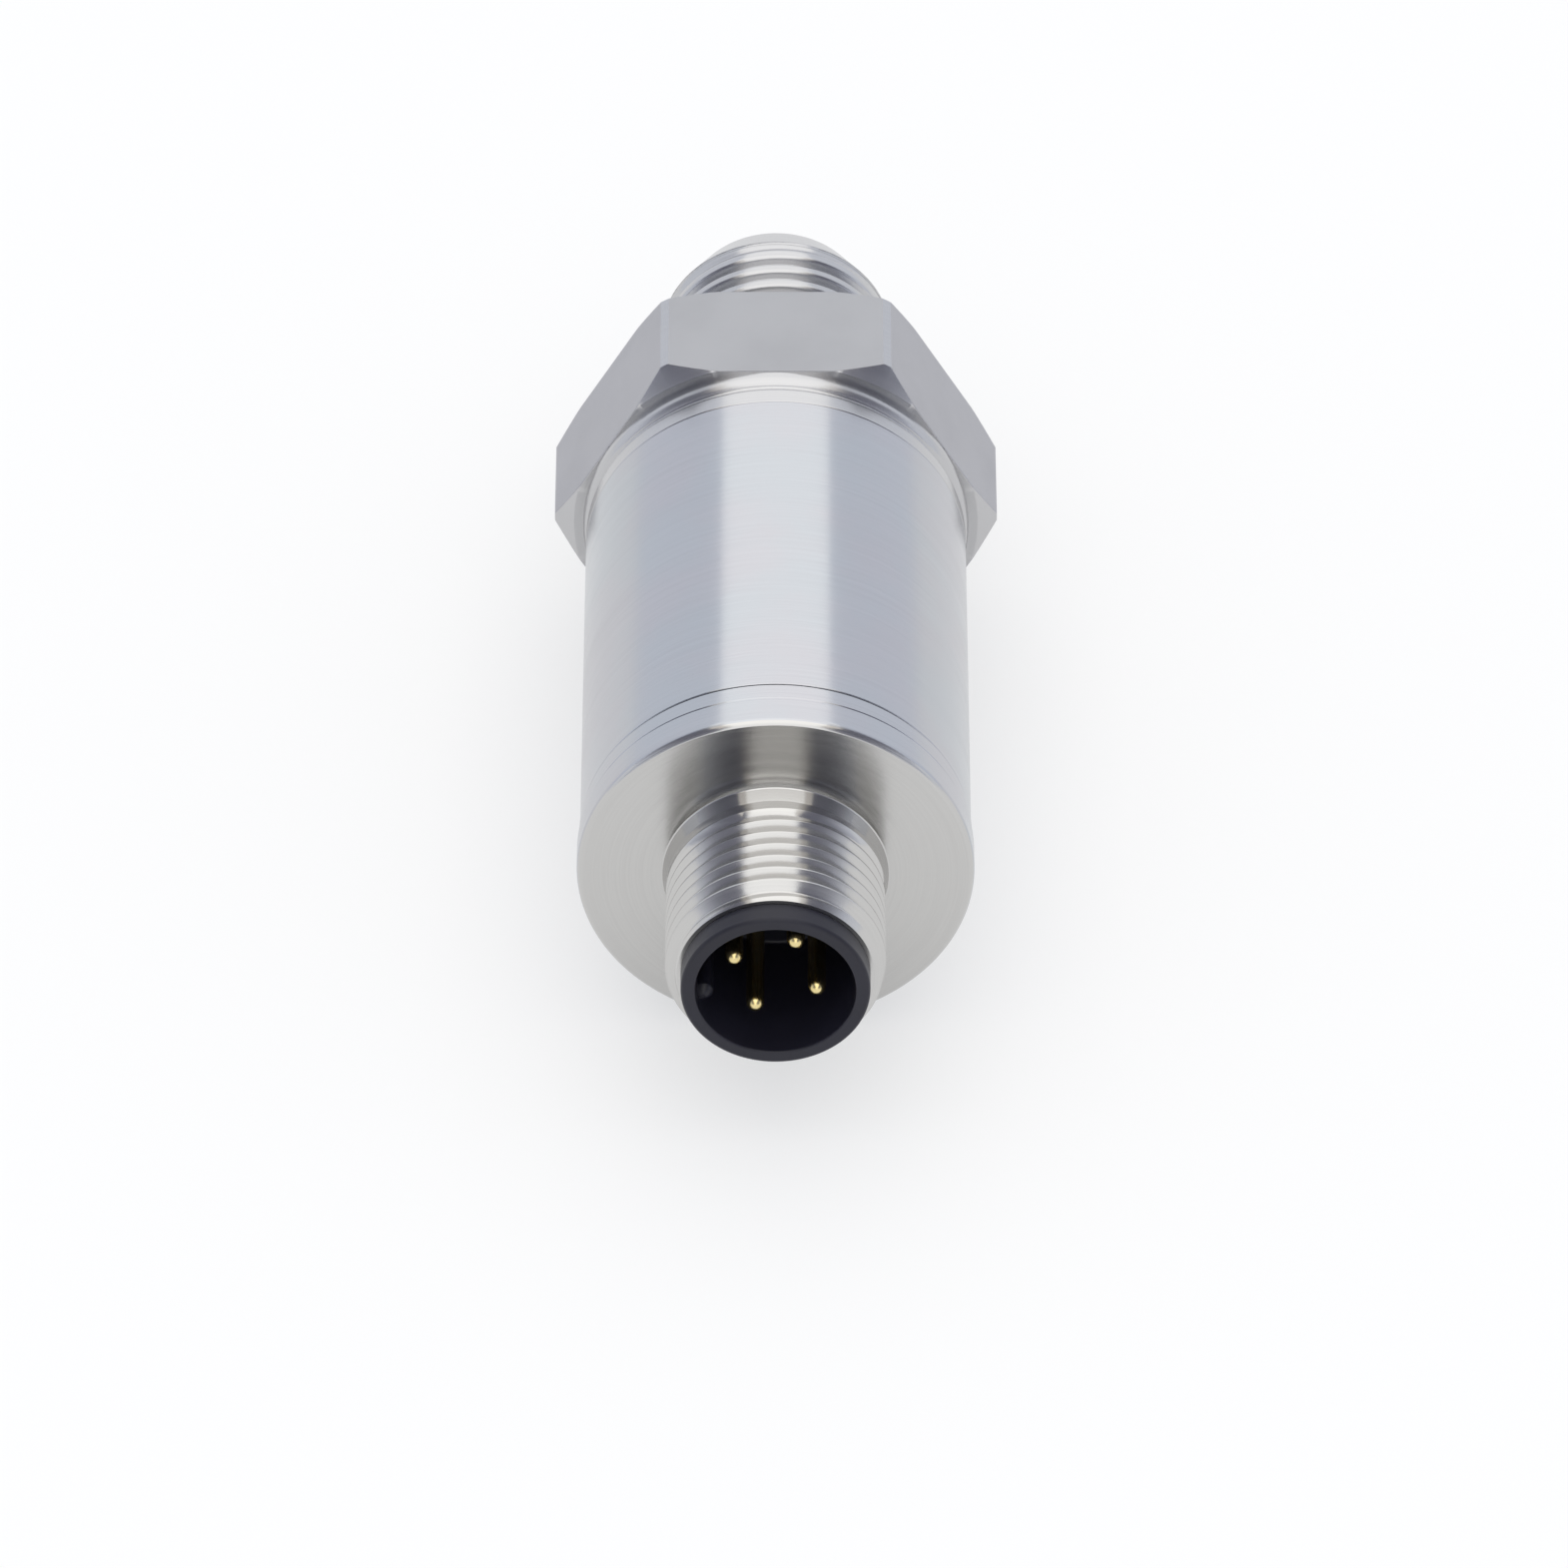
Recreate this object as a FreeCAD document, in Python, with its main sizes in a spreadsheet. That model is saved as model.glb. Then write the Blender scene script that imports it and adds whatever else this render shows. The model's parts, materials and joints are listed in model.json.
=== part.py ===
"""Pressure transmitter: a stainless barrel with a threaded process port and a round plug connector.

Millimetres.  The barrel's axis is Y and +Z is up.  The origin is the centre of the sealing face
that the process thread stands on.  +Y runs out along that thread and -Y runs to the connector.
The part lies on one flat of its hexagon, which is its lowest face.

Every size that can be set by itself is a cell of the sheet.  Every outline, place and pattern is
bound to those cells, so a changed cell carries its neighbours with it.
"""
import FreeCAD, Part
import Sketcher
import math
import os
import re

document = FreeCAD.newDocument("PressureTransmitter")

# ---------------------------------------------------------------------------------------------
# Driving dimensions
# ---------------------------------------------------------------------------------------------

SHEET_NAME = "Sizes"

DIMENSIONS = [
    # Process connection: a G 1/4 A thread, a sealing collar and a hexagon, turned in one piece.
    ("process_thread_diameter", 13.157, "G 1/4 A major diameter"),
    ("process_thread_length", 12.0, "sealing face to nose"),
    ("nose_length", 2.8, "plain cone ahead of the first turn"),
    ("nose_drop", 1.4785, "thread crest to small end of the cone, on the radius"),
    ("relief_depth", 0.9785, "run-out groove behind the thread, below its crest"),
    ("relief_length", 1.4, "run-out groove, from the sealing face"),
    ("collar_diameter", 18.9, "sealing collar"),
    ("collar_height", 1.2, "sealing collar, hexagon to face"),
    ("collar_chamfer", 0.2, "edge of the sealing collar"),
    ("port_bore_diameter", 4.0, "pressure channel"),
    ("port_mouth_chamfer", 0.5, "mouth of the pressure channel"),
    ("hex_across_flats", 22.0, "wrench size"),
    ("hex_corner_cut", 0.15, "turned off each sharp corner, on the radius"),
    ("hex_length", 7.3, "end face to end face"),
    ("hex_face_step", 0.45, "flat to start of the corner chamfer, on the radius"),
    ("hex_chamfer_angle", 30.0, "degrees from the end face"),
    ("bead_length", 0.9, "round-edged bead between neck groove and hexagon"),
    ("bead_round", 0.25, "edge of the bead beside the groove"),
    ("neck_groove_width", 0.35, "groove beside the bead"),
    ("neck_groove_depth", 0.4, "below the tube's outside"),
    ("tube_land_length", 1.2, "band that the tube butts on"),
    ("cup_length", 6.0, "spigot that holds the cell, inside the tube"),
    ("cup_wall", 0.82, "wall of that spigot"),
    ("cup_chamfer", 0.3, "lead-in of the spigots"),
    # Profile seal on the sealing collar.
    ("seal_recess_wall", 1.15, "collar left outside the recess"),
    ("seal_recess_depth", 1.1, "recess in the sealing face"),
    ("seal_proud", 0.2, "relaxed seal above the sealing face"),
    ("seal_taper", 0.25, "slope of the seal's outer edge"),
    # Ceramic measuring cell and what seats it.
    ("cell_body_length", 6.0, "ceramic body"),
    ("diaphragm_thickness", 0.35, "ceramic diaphragm"),
    ("cell_depth", 7.5, "sealing face to cell seat, through the hexagon"),
    ("pressure_chamber_margin", 1.3, "seal ring to chamber, on the radius"),
    ("pressure_chamber_depth", 0.4, "shallow chamber at the diaphragm"),
    ("cell_seal_margin", 0.9, "cell's edge to its seal ring, on the radius"),
    ("cell_seal_width", 1.8, "across the squeezed ring"),
    ("cell_seal_height", 1.2, "along the axis, squeezed"),
    ("clamp_ring_length", 2.5, "threaded ring that presses on the cell"),
    ("clamp_ring_wall", 3.57, "outside to the hole for the leads, on the radius"),
    ("spanner_hole_diameter", 1.6, "pair of holes for a pin spanner"),
    ("spanner_hole_depth", 1.5, "pair of holes for a pin spanner"),
    ("lead_diameter", 0.4, "cell leads"),
    ("lead_pitch", 1.27, "cell leads, side to side"),
    ("lead_overlap", 2.0, "lead lying on the board"),
    # Housing tube and end cap.
    ("tube_diameter", 21.5, "outside"),
    ("tube_wall", 0.8, "wall"),
    ("tube_length", 24.85, "butt joint to butt joint"),
    ("cap_band_length", 1.5, "plain band beside the tube"),
    ("cap_band_step", 0.05, "plain band above the tube, on the radius"),
    ("joint_chamfer", 0.08, "both edges of each butt joint of the tube"),
    ("cap_rim_length", 1.9, "polished rim"),
    ("cap_rim_step", 0.15, "polished rim above the tube, on the radius"),
    ("cap_rim_round", 0.5, "front edge of the rim"),
    ("cap_wall", 2.6, "front wall of the cap"),
    ("cap_spigot_length", 3.0, "inside the tube"),
    ("cap_spigot_wall", 1.0, "wall of the spigot"),
    # M12 plug connector.
    ("plug_collar_step", 0.2, "plain collar above the thread's crest, on the radius"),
    ("plug_collar_length", 1.5, "plain collar at the root of the thread"),
    ("plug_thread_diameter", 12.0, "M12 x 1 major diameter"),
    ("plug_thread_length", 7.0, "collar to metal end"),
    ("plug_thread_chamfer", 0.4, "metal end"),
    ("plug_neck_wall", 1.0, "thread crest to bore"),
    ("carrier_rim_ledge", 0.15, "plastic rim over the metal's end, on the radius"),
    ("carrier_rim_length", 1.3, "plastic rim ahead of the metal"),
    ("carrier_rim_round", 0.2, "outer edge of the rim"),
    ("carrier_wall", 0.62, "round the contact well"),
    ("carrier_proud", 0.6, "carrier behind the cap's front wall"),
    ("contact_well_depth", 9.1, "round the contacts"),
    ("well_mouth_chamfer", 0.15, "inner edge of the rim"),
    ("key_angle", 199.0, "degrees, coding rib, from +X towards +Z"),
    ("key_width", 1.1, "coding rib"),
    ("key_height", 0.75, "coding rib, in from the wall"),
    ("key_setback", 1.2, "coding rib, behind the rim's face"),
    ("carrier_seal_width", 1.2, "seal ring along the axis"),
    ("carrier_seal_depth", 0.75, "groove for the seal ring"),
    ("carrier_seal_place", 2.2, "middle of that groove, ahead of the carrier's end"),
    ("contact_count", 4, "contact pins"),
    ("contact_diameter", 1.0, "contact pins"),
    ("contact_circle", 5.0, "pitch circle of the pins"),
    ("contact_setback", 1.25, "pin tips behind the rim's face"),
    ("contact_tail", 0.7, "pins behind the connector board"),
    ("first_contact_angle", 64.0, "degrees, from +X towards +Z"),
    # Electronics.
    ("board_thickness", 1.0, "both boards"),
    ("connector_board_margin", 0.72, "round board behind the carrier, clear of the spigot"),
    ("main_board_height", 3.2, "underside, above the axis"),
    ("main_board_end_gap", 1.0, "cup to board, and a third of it at the cap's spigot"),
    ("main_board_tongue", 12.4, "width of the tongue that reaches the connector board"),
    ("main_board_hold", 0.376, "edge of the board inside the sleeve's wall"),
    ("sleeve_wall", 0.7, "insulating sleeve"),
    ("header_length", 2.0, "pin header along the axis"),
    ("header_width", 10.16, "pin header"),
    ("header_height", 2.0, "pin header"),
    ("header_pin_count", 4, "header pins"),
    ("header_pin_diameter", 0.6, "header pins"),
    ("header_pin_pitch", 2.54, "header pins, side to side"),
    ("header_pin_overlap", 2.2, "header pin over the main board"),
    ("header_pin_lift", 0.2, "solder between the main board and the pins"),
    ("chip_size", 5.0, "signal chip"),
    ("small_chip_size", 4.0, "output chip"),
    ("chip_height", 0.9, "both chips"),
    ("capacitor_count", 4, "capacitors in a row"),
    ("capacitor_length", 1.6, "along the axis"),
    ("capacitor_width", 0.8, "across, and its height"),
    ("capacitor_pitch", 2.4, "side to side"),
    ("capacitor_gap", 1.56, "signal chip to the row of capacitors"),
    # Clearances.
    ("spigot_fit", 0.03, "spigot to tube, on the radius"),
    ("cell_fit", 0.1, "cell to cup, on the radius"),
    ("thread_fit", 0.03, "clamp ring to cup, on the radius"),
    ("sleeve_fit", 0.06, "sleeve to tube, on the radius"),
    ("carrier_fit", 0.03, "carrier to metal, on the radius"),
    ("pin_fit", 0.02, "pins to their holes, on the radius"),
    ("slot_fit", 0.05, "board to slots, and seals to grooves"),
]

sheet = document.addObject("Spreadsheet::Sheet", SHEET_NAME)
for row, (name, size, meaning) in enumerate(DIMENSIONS, start=1):
    sheet.set(f"A{row}", name.replace("_", " "))
    sheet.set(f"B{row}", str(size))
    sheet.setAlias(f"B{row}", name)
    sheet.set(f"C{row}", meaning)
document.recompute()

CELL_NAMES = {name for name, size, meaning in DIMENSIONS}


def bound(formula):
    """The formula as an expression on the sheet: each cell's name gets the sheet's name."""
    return re.sub(r"[a-z]\w*", lambda word: f"{SHEET_NAME}.{word[0]}" if word[0] in CELL_NAMES
                  else word[0], str(formula))


def number(formula):
    """What the formula comes to with the sheet as it stands."""
    return float(sheet.evalExpression(bound(formula)))


# ---------------------------------------------------------------------------------------------
# Places along the axis, as formulas on the sheet
# ---------------------------------------------------------------------------------------------

HEX_REAR = "-collar_height"
HEX_FRONT = f"({HEX_REAR} - hex_length)"
BEAD_FRONT = f"({HEX_FRONT} - bead_length)"
LAND_REAR = f"({BEAD_FRONT} - neck_groove_width)"
TUBE_REAR = f"({LAND_REAR} - tube_land_length)"
CUP_FRONT = f"({TUBE_REAR} - cup_length)"
CELL_SEAT = "-cell_depth"
CELL_BODY_REAR = f"({CELL_SEAT} - diaphragm_thickness)"
CELL_FRONT = f"({CELL_BODY_REAR} - cell_body_length)"
TUBE_FRONT = f"({TUBE_REAR} - tube_length)"
CAP_SPIGOT_REAR = f"({TUBE_FRONT} + cap_spigot_length)"
CAP_FACE = f"({TUBE_FRONT} - cap_band_length - cap_rim_length)"
CAP_INSIDE = f"({CAP_FACE} + cap_wall)"
PLUG_METAL_END = f"({CAP_FACE} - plug_collar_length - plug_thread_length)"
CARRIER_FACE = f"({PLUG_METAL_END} - carrier_rim_length)"
CARRIER_REAR = f"({CAP_INSIDE} + carrier_proud)"
CONNECTOR_BOARD_REAR = f"({CARRIER_REAR} + board_thickness)"
MAIN_BOARD_REAR = f"({CUP_FRONT} - main_board_end_gap)"
MAIN_BOARD_SHOULDER = f"({CAP_SPIGOT_REAR} + main_board_end_gap / 3)"

# Radii and heights that several pieces share.
TUBE_INSIDE = "(tube_diameter / 2 - tube_wall)"
SPIGOT_OUTSIDE = f"({TUBE_INSIDE} - spigot_fit)"
SPIGOT_INSIDE = f"({SPIGOT_OUTSIDE} - cap_spigot_wall)"
NECK_GROOVE = "(tube_diameter / 2 - neck_groove_depth)"
CAP_BAND = "(tube_diameter / 2 + cap_band_step)"
CAP_RIM = "(tube_diameter / 2 + cap_rim_step)"
HEX_SHARP_CORNER = "(hex_across_flats / 2 / cos(30))"
HEX_CORNER = f"({HEX_SHARP_CORNER} - hex_corner_cut)"
HEX_FACE = "(hex_across_flats / 2 + hex_face_step)"
THREAD_CREST = "(process_thread_diameter / 2)"
RELIEF = f"({THREAD_CREST} - relief_depth)"
SEAL_RECESS = "(collar_diameter / 2 - seal_recess_wall)"
CUP_INSIDE = f"({SPIGOT_OUTSIDE} - cup_wall)"
CELL = f"({CUP_INSIDE} - cell_fit)"
CELL_SEAL_OUTSIDE = f"({CELL} - cell_seal_margin)"
CELL_SEAL_INSIDE = f"({CELL_SEAL_OUTSIDE} - cell_seal_width)"
CLAMP_RING = f"({CUP_INSIDE} - thread_fit)"
CLAMP_OPENING = f"({CLAMP_RING} - clamp_ring_wall)"
SLEEVE_OUTSIDE = f"({TUBE_INSIDE} - sleeve_fit)"
SLEEVE_INSIDE = f"({SLEEVE_OUTSIDE} - sleeve_wall)"
BOARD_TOP = "(main_board_height + board_thickness)"
BOARD_HALF_WIDTH = f"(sqrt({SLEEVE_INSIDE} ^ 2 - {BOARD_TOP} ^ 2) + main_board_hold)"
PLUG_CREST = "(plug_thread_diameter / 2)"
CARRIER_BORE = f"({PLUG_CREST} - plug_neck_wall)"
CARRIER_RIM = f"({CARRIER_BORE} + carrier_rim_ledge)"
CARRIER_BODY = f"({CARRIER_BORE} - carrier_fit)"
CONTACT_WELL = f"({CARRIER_BODY} - carrier_wall)"
SEAL_GROOVE_BOTTOM = f"({CARRIER_BODY} - carrier_seal_depth)"


# ---------------------------------------------------------------------------------------------
# Ways of making a piece
# ---------------------------------------------------------------------------------------------

def new_body(name, datum="0", across="0", up="0"):
    """An empty body whose own origin stands at the datum along the axis, or beside it."""
    body = document.addObject("PartDesign::Body", name)
    body.Label = name
    body.setExpression("Placement.Base.x", bound(across))
    body.setExpression("Placement.Base.y", bound(datum))
    body.setExpression("Placement.Base.z", bound(up))
    return body


def new_sketch(body, name, plane, offset="0"):
    """A sketch on one of the body's own planes, moved along the plane's normal."""
    sketch = body.newObject("Sketcher::SketchObject", f"{body.Name}_{name}_sketch")
    support = next(item for item in body.Origin.OriginFeatures if item.Role == plane)
    sketch.AttachmentSupport = [(support, "")]
    sketch.MapMode = "FlatFace"
    sketch.setExpression("AttachmentOffset.Base.z", bound(offset))
    return sketch


def cross_section(body, name, place):
    """A sketch square to the axis at a place along it, with X across and Z up."""
    return new_sketch(body, name, "XZ_Plane", f"-({place})")


def dimension(sketch, kind, geometry, point, formula):
    """Hold one point's distance from the sketch's origin to a formula."""
    constraint = sketch.addConstraint(
        Sketcher.Constraint(kind, -1, 1, geometry, point, number(formula)))
    sketch.setExpression(f"Constraints[{constraint}]", bound(formula))


def outline(sketch, corners):
    """A closed outline of straight lines through corners, each a pair of formulas."""
    first = sketch.GeometryCount
    places = [FreeCAD.Vector(number(across), number(out), 0) for across, out in corners]
    for start, end in zip(places, places[1:] + places[:1]):
        sketch.addGeometry(Part.LineSegment(start, end), False)
    for index in range(len(corners)):
        following = (index + 1) % len(corners)
        sketch.addConstraint(
            Sketcher.Constraint("Coincident", first + index, 2, first + following, 1))
    for index, corner in enumerate(corners):
        before = corners[index - 1] if index else (None, None)
        line = first + index
        if corner[0] == before[0]:
            sketch.addConstraint(Sketcher.Constraint("Vertical", line - 1))
        else:
            dimension(sketch, "DistanceX", line, 1, corner[0])
        if corner[1] == before[1]:
            sketch.addConstraint(Sketcher.Constraint("Horizontal", line - 1))
        else:
            dimension(sketch, "DistanceY", line, 1, corner[1])


def circle(sketch, diameter, across="0", up="0"):
    """A circle of a bound diameter about a bound centre."""
    centre = FreeCAD.Vector(number(across), number(up), 0)
    ring = sketch.addGeometry(
        Part.Circle(centre, FreeCAD.Vector(0, 0, 1), number(diameter) / 2), False)
    if across == up == "0":
        sketch.addConstraint(Sketcher.Constraint("Coincident", ring, 3, -1, 1))
    else:
        dimension(sketch, "DistanceX", ring, 3, across)
        dimension(sketch, "DistanceY", ring, 3, up)
    constraint = sketch.addConstraint(Sketcher.Constraint("Diameter", ring, number(diameter)))
    sketch.setExpression(f"Constraints[{constraint}]", bound(diameter))


def turn(body, name, corners, kind="Revolution"):
    """Revolve an outline of (along the axis, out from it) corners; a Groove cuts it away."""
    sketch = new_sketch(body, name, "YZ_Plane")
    outline(sketch, corners)
    return revolve(body, name, sketch, kind)


def revolve(body, name, sketch, kind="Revolution"):
    """Turn a sketch round its own horizontal axis."""
    feature = body.newObject(f"PartDesign::{kind}", f"{body.Name}_{name}")
    feature.Profile = sketch
    feature.ReferenceAxis = (sketch, ["H_Axis"])
    feature.Angle = 360
    return feature


def cut_ring(body, name, corners):
    """Turn a ring away, and make sure that it came away."""
    document.recompute()
    before = body.Shape.Volume
    feature = turn(body, name, corners, "Groove")
    document.recompute()
    if not body.Shape.Volume < before:
        raise RuntimeError(f"{feature.Name} cuts nothing")
    return feature


def pad(body, name, sketch, length, towards_process=True):
    """Thicken a cross-section along the axis."""
    feature = body.newObject("PartDesign::Pad", f"{body.Name}_{name}")
    feature.Profile = sketch
    feature.Reversed = towards_process
    feature.setExpression("Length", bound(length))
    return feature


def pocket(body, name, sketch, length, towards_process=True):
    """Cut a cross-section away along the axis, and make sure that it came away."""
    document.recompute()
    before = body.Shape.Volume
    feature = body.newObject("PartDesign::Pocket", f"{body.Name}_{name}")
    feature.Profile = sketch
    feature.Reversed = not towards_process
    feature.setExpression("Length", bound(length))
    document.recompute()
    if not body.Shape.Volume < before:
        raise RuntimeError(f"{feature.Name} cuts nothing")
    return feature


def repeat_round(body, feature, count):
    """Repeat a feature at equal angles round the axis."""
    pattern = body.newObject("PartDesign::PolarPattern", f"{feature.Name}_pattern")
    pattern.Originals = [feature]
    pattern.Axis = (next(item for item in body.Origin.OriginFeatures if item.Role == "Y_Axis"), [""])
    pattern.Angle = 360
    pattern.setExpression("Occurrences", bound(count))
    body.Tip = pattern
    document.recompute()
    return pattern


def round_edges(body, name, radius, rims):
    """Round circular edges, each found by its (along the axis, radius)."""
    document.recompute()
    base = body.Tip
    wanted = [(number(along), number(out)) for along, out in rims]
    edges = [f"Edge{index}" for index, edge in enumerate(base.Shape.Edges, start=1)
             if is_rim(edge, wanted)]
    if len(edges) < len(rims):
        raise RuntimeError(f"{body.Name} lacks an edge to round")
    feature = body.newObject("PartDesign::Fillet", f"{body.Name}_{name}")
    feature.Base = (base, edges)
    feature.setExpression("Radius", bound(radius))
    return feature


def is_rim(edge, wanted, tolerance=1e-4):
    """Whether an edge is a circle at one of the wanted places."""
    if not isinstance(edge.Curve, Part.Circle):
        return False
    return any(abs(edge.Curve.Center.y - along) < tolerance
               and abs(edge.Curve.Radius - out) < tolerance for along, out in wanted)


def around(angle, radius):
    """Formulas for the X and Z of a place on a circle about the axis."""
    return (f"({radius} * cos({angle}))", f"({radius} * sin({angle}))")


def drill(body, name, diameter, places, start, length):
    """Round holes along +Y from a place on the axis."""
    sketch = cross_section(body, name, start)
    for across, up in places:
        circle(sketch, diameter, across, up)
    return pocket(body, name, sketch, length)


# ---------------------------------------------------------------------------------------------
# Process connection
# ---------------------------------------------------------------------------------------------

def process_connection():
    """Threaded port, sealing collar, hexagon and cell cup, turned and milled from one bar."""
    body = new_body("process_connection")
    corner_chamfer = f"(({HEX_CORNER} - {HEX_FACE}) * tan(hex_chamfer_angle))"
    turn(body, "blank", [
        ("process_thread_length", "port_bore_diameter / 2"),
        ("process_thread_length", f"{THREAD_CREST} - nose_drop"),
        ("process_thread_length - nose_length", THREAD_CREST),
        ("0", THREAD_CREST),
        ("0", "collar_diameter / 2 - collar_chamfer"),
        ("-collar_chamfer", "collar_diameter / 2"),
        (HEX_REAR, "collar_diameter / 2"),
        (HEX_REAR, HEX_FACE),
        (f"{HEX_REAR} - {corner_chamfer}", HEX_CORNER),
        (f"{HEX_FRONT} + {corner_chamfer}", HEX_CORNER),
        (HEX_FRONT, HEX_FACE),
        (HEX_FRONT, "tube_diameter / 2"),
        (BEAD_FRONT, "tube_diameter / 2"),
        (BEAD_FRONT, NECK_GROOVE),
        (LAND_REAR, NECK_GROOVE),
        (LAND_REAR, "tube_diameter / 2"),
        (f"{TUBE_REAR} + joint_chamfer", "tube_diameter / 2"),
        (TUBE_REAR, "tube_diameter / 2 - joint_chamfer"),
        (TUBE_REAR, SPIGOT_OUTSIDE),
        (f"{CUP_FRONT} + cup_chamfer", SPIGOT_OUTSIDE),
        (CUP_FRONT, f"{SPIGOT_OUTSIDE} - cup_chamfer"),
        (CUP_FRONT, "port_bore_diameter / 2"),
    ])
    round_edges(body, "bead_round", "bead_round", [(BEAD_FRONT, "tube_diameter / 2")])
    mill_flats(body)
    cut_ring(body, "thread_relief", [
        ("0", RELIEF),
        ("relief_length", RELIEF),
        ("relief_length + relief_depth", THREAD_CREST),
        ("0", THREAD_CREST),
    ])
    cut_ring(body, "seal_recess", ring("-seal_recess_depth", "0", RELIEF, SEAL_RECESS))
    cut_ring(body, "cell_seat", ring(CUP_FRONT, CELL_SEAT, "port_bore_diameter / 2", CUP_INSIDE))
    cut_ring(body, "cell_seal_groove", ring(
        CELL_SEAT, f"{CELL_SEAT} + cell_seal_height",
        f"{CELL_SEAL_INSIDE} - slot_fit", f"{CELL_SEAL_OUTSIDE} + slot_fit"))
    cut_ring(body, "pressure_chamber", ring(
        CELL_SEAT, f"{CELL_SEAT} + pressure_chamber_depth",
        "port_bore_diameter / 2", f"{CELL_SEAL_INSIDE} - pressure_chamber_margin"))
    cut_ring(body, "port_mouth", [
        ("process_thread_length", "port_bore_diameter / 2"),
        ("process_thread_length", "port_bore_diameter / 2 + port_mouth_chamfer"),
        ("process_thread_length - port_mouth_chamfer", "port_bore_diameter / 2"),
    ])
    return body


def ring(rear, front, inside, outside):
    """The four corners of a ring's section."""
    return [(rear, inside), (front, inside), (front, outside), (rear, outside)]


def mill_flats(body):
    """Cut the six wrench flats through the hexagon, with one flat on top."""
    sketch = cross_section(body, "flats", HEX_FRONT)
    corners = [FreeCAD.Vector(*[number(place) for place in around(60 * index, HEX_SHARP_CORNER)], 0)
               for index in range(6)]
    for start, end in zip(corners, corners[1:] + corners[:1]):
        sketch.addGeometry(Part.LineSegment(start, end), False)
    guide = sketch.addGeometry(
        Part.Circle(FreeCAD.Vector(), FreeCAD.Vector(0, 0, 1), number(HEX_SHARP_CORNER)), True)
    sketch.addConstraint(Sketcher.Constraint("Coincident", guide, 3, -1, 1))
    radius = sketch.addConstraint(Sketcher.Constraint("Radius", guide, number(HEX_SHARP_CORNER)))
    sketch.setExpression(f"Constraints[{radius}]", bound(HEX_SHARP_CORNER))
    for index in range(6):
        sketch.addConstraint(Sketcher.Constraint("Coincident", index, 2, (index + 1) % 6, 1))
        sketch.addConstraint(Sketcher.Constraint("PointOnObject", index, 1, guide))
    for index in range(1, 6):
        sketch.addConstraint(Sketcher.Constraint("Equal", 0, index))
    top_flat = 1
    sketch.addConstraint(Sketcher.Constraint("Horizontal", top_flat))
    circle(sketch, f"{HEX_SHARP_CORNER} * 3")
    pocket(body, "flats", sketch, "hex_length")


def port_seal():
    """Profile seal that sits in the collar's recess, with a sloping outer edge."""
    body = new_body("port_seal_ring")
    outside = f"({SEAL_RECESS} - slot_fit)"
    turn(body, "section", [
        ("-seal_recess_depth", f"{RELIEF} + slot_fit"),
        ("seal_proud", f"{RELIEF} + slot_fit"),
        ("seal_proud", f"{outside} - seal_taper"),
        ("-seal_recess_depth", outside),
    ])
    return body


# ---------------------------------------------------------------------------------------------
# Measuring cell
# ---------------------------------------------------------------------------------------------

def seal_ring(name, datum, inside, outside, height, round_share=0.4):
    """Squeezed round-cord ring between two radii, with its height along the axis."""
    body = new_body(name, datum)
    turn(body, "section", ring("0", height, inside, outside))
    rims = [(along, out) for along in ("0", height) for out in (inside, outside)]
    smaller = f"min({outside} - {inside}; {height})"
    round_edges(body, "rounds", f"{smaller} * {round_share}", rims)
    return body


def disc(name, datum, radius, thickness):
    """A plain disc that runs from its datum towards the process thread."""
    body = new_body(name, datum)
    sketch = cross_section(body, "face", "0")
    circle(sketch, f"{radius} * 2")
    pad(body, "disc", sketch, thickness)
    return body


def clamp_ring():
    """Threaded ring that presses the cell on its seal, with two holes for a pin spanner."""
    body = new_body("cell_clamp_ring", f"{CELL_FRONT} - clamp_ring_length")
    turn(body, "section", ring("0", "clamp_ring_length", CLAMP_OPENING, CLAMP_RING))
    middle = f"(({CLAMP_OPENING} + {CLAMP_RING}) / 2)"
    hole = drill(body, "spanner_hole", "spanner_hole_diameter", [around("0", middle)],
                 "0", "spanner_hole_depth")
    repeat_round(body, hole, "2")
    return body


def rod(name, datum, diameter, length, across, up):
    """A straight round wire or pin beside the axis, from its datum towards the process thread."""
    body = new_body(name, datum, across, up)
    sketch = cross_section(body, "end", "0")
    circle(sketch, diameter)
    pad(body, "shank", sketch, length)
    return body


def in_a_row(index, count, pitch):
    """Formula for the place of one item in a row that is centred on the axis."""
    return f"(({index} - ({count} - 1) / 2) * {pitch})"


def cell_leads():
    """Leads from the back of the cell to pads on the underside of the main board."""
    start = f"{MAIN_BOARD_REAR} - lead_overlap"
    height = "(main_board_height - lead_diameter / 2 - pin_fit)"
    return [rod(f"cell_lead_{index + 1}", start, "lead_diameter", f"{CELL_FRONT} - ({start})",
                in_a_row(index, 4, "lead_pitch"), height) for index in range(4)]


# ---------------------------------------------------------------------------------------------
# Housing
# ---------------------------------------------------------------------------------------------

def housing_tube():
    """Thin tube that butts on the process connection and on the end cap."""
    body = new_body("housing_tube", TUBE_FRONT)
    turn(body, "wall", [
        ("0", TUBE_INSIDE),
        ("tube_length", TUBE_INSIDE),
        ("tube_length", "tube_diameter / 2 - joint_chamfer"),
        ("tube_length - joint_chamfer", "tube_diameter / 2"),
        ("joint_chamfer", "tube_diameter / 2"),
        ("0", "tube_diameter / 2 - joint_chamfer"),
    ])
    return body


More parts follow.
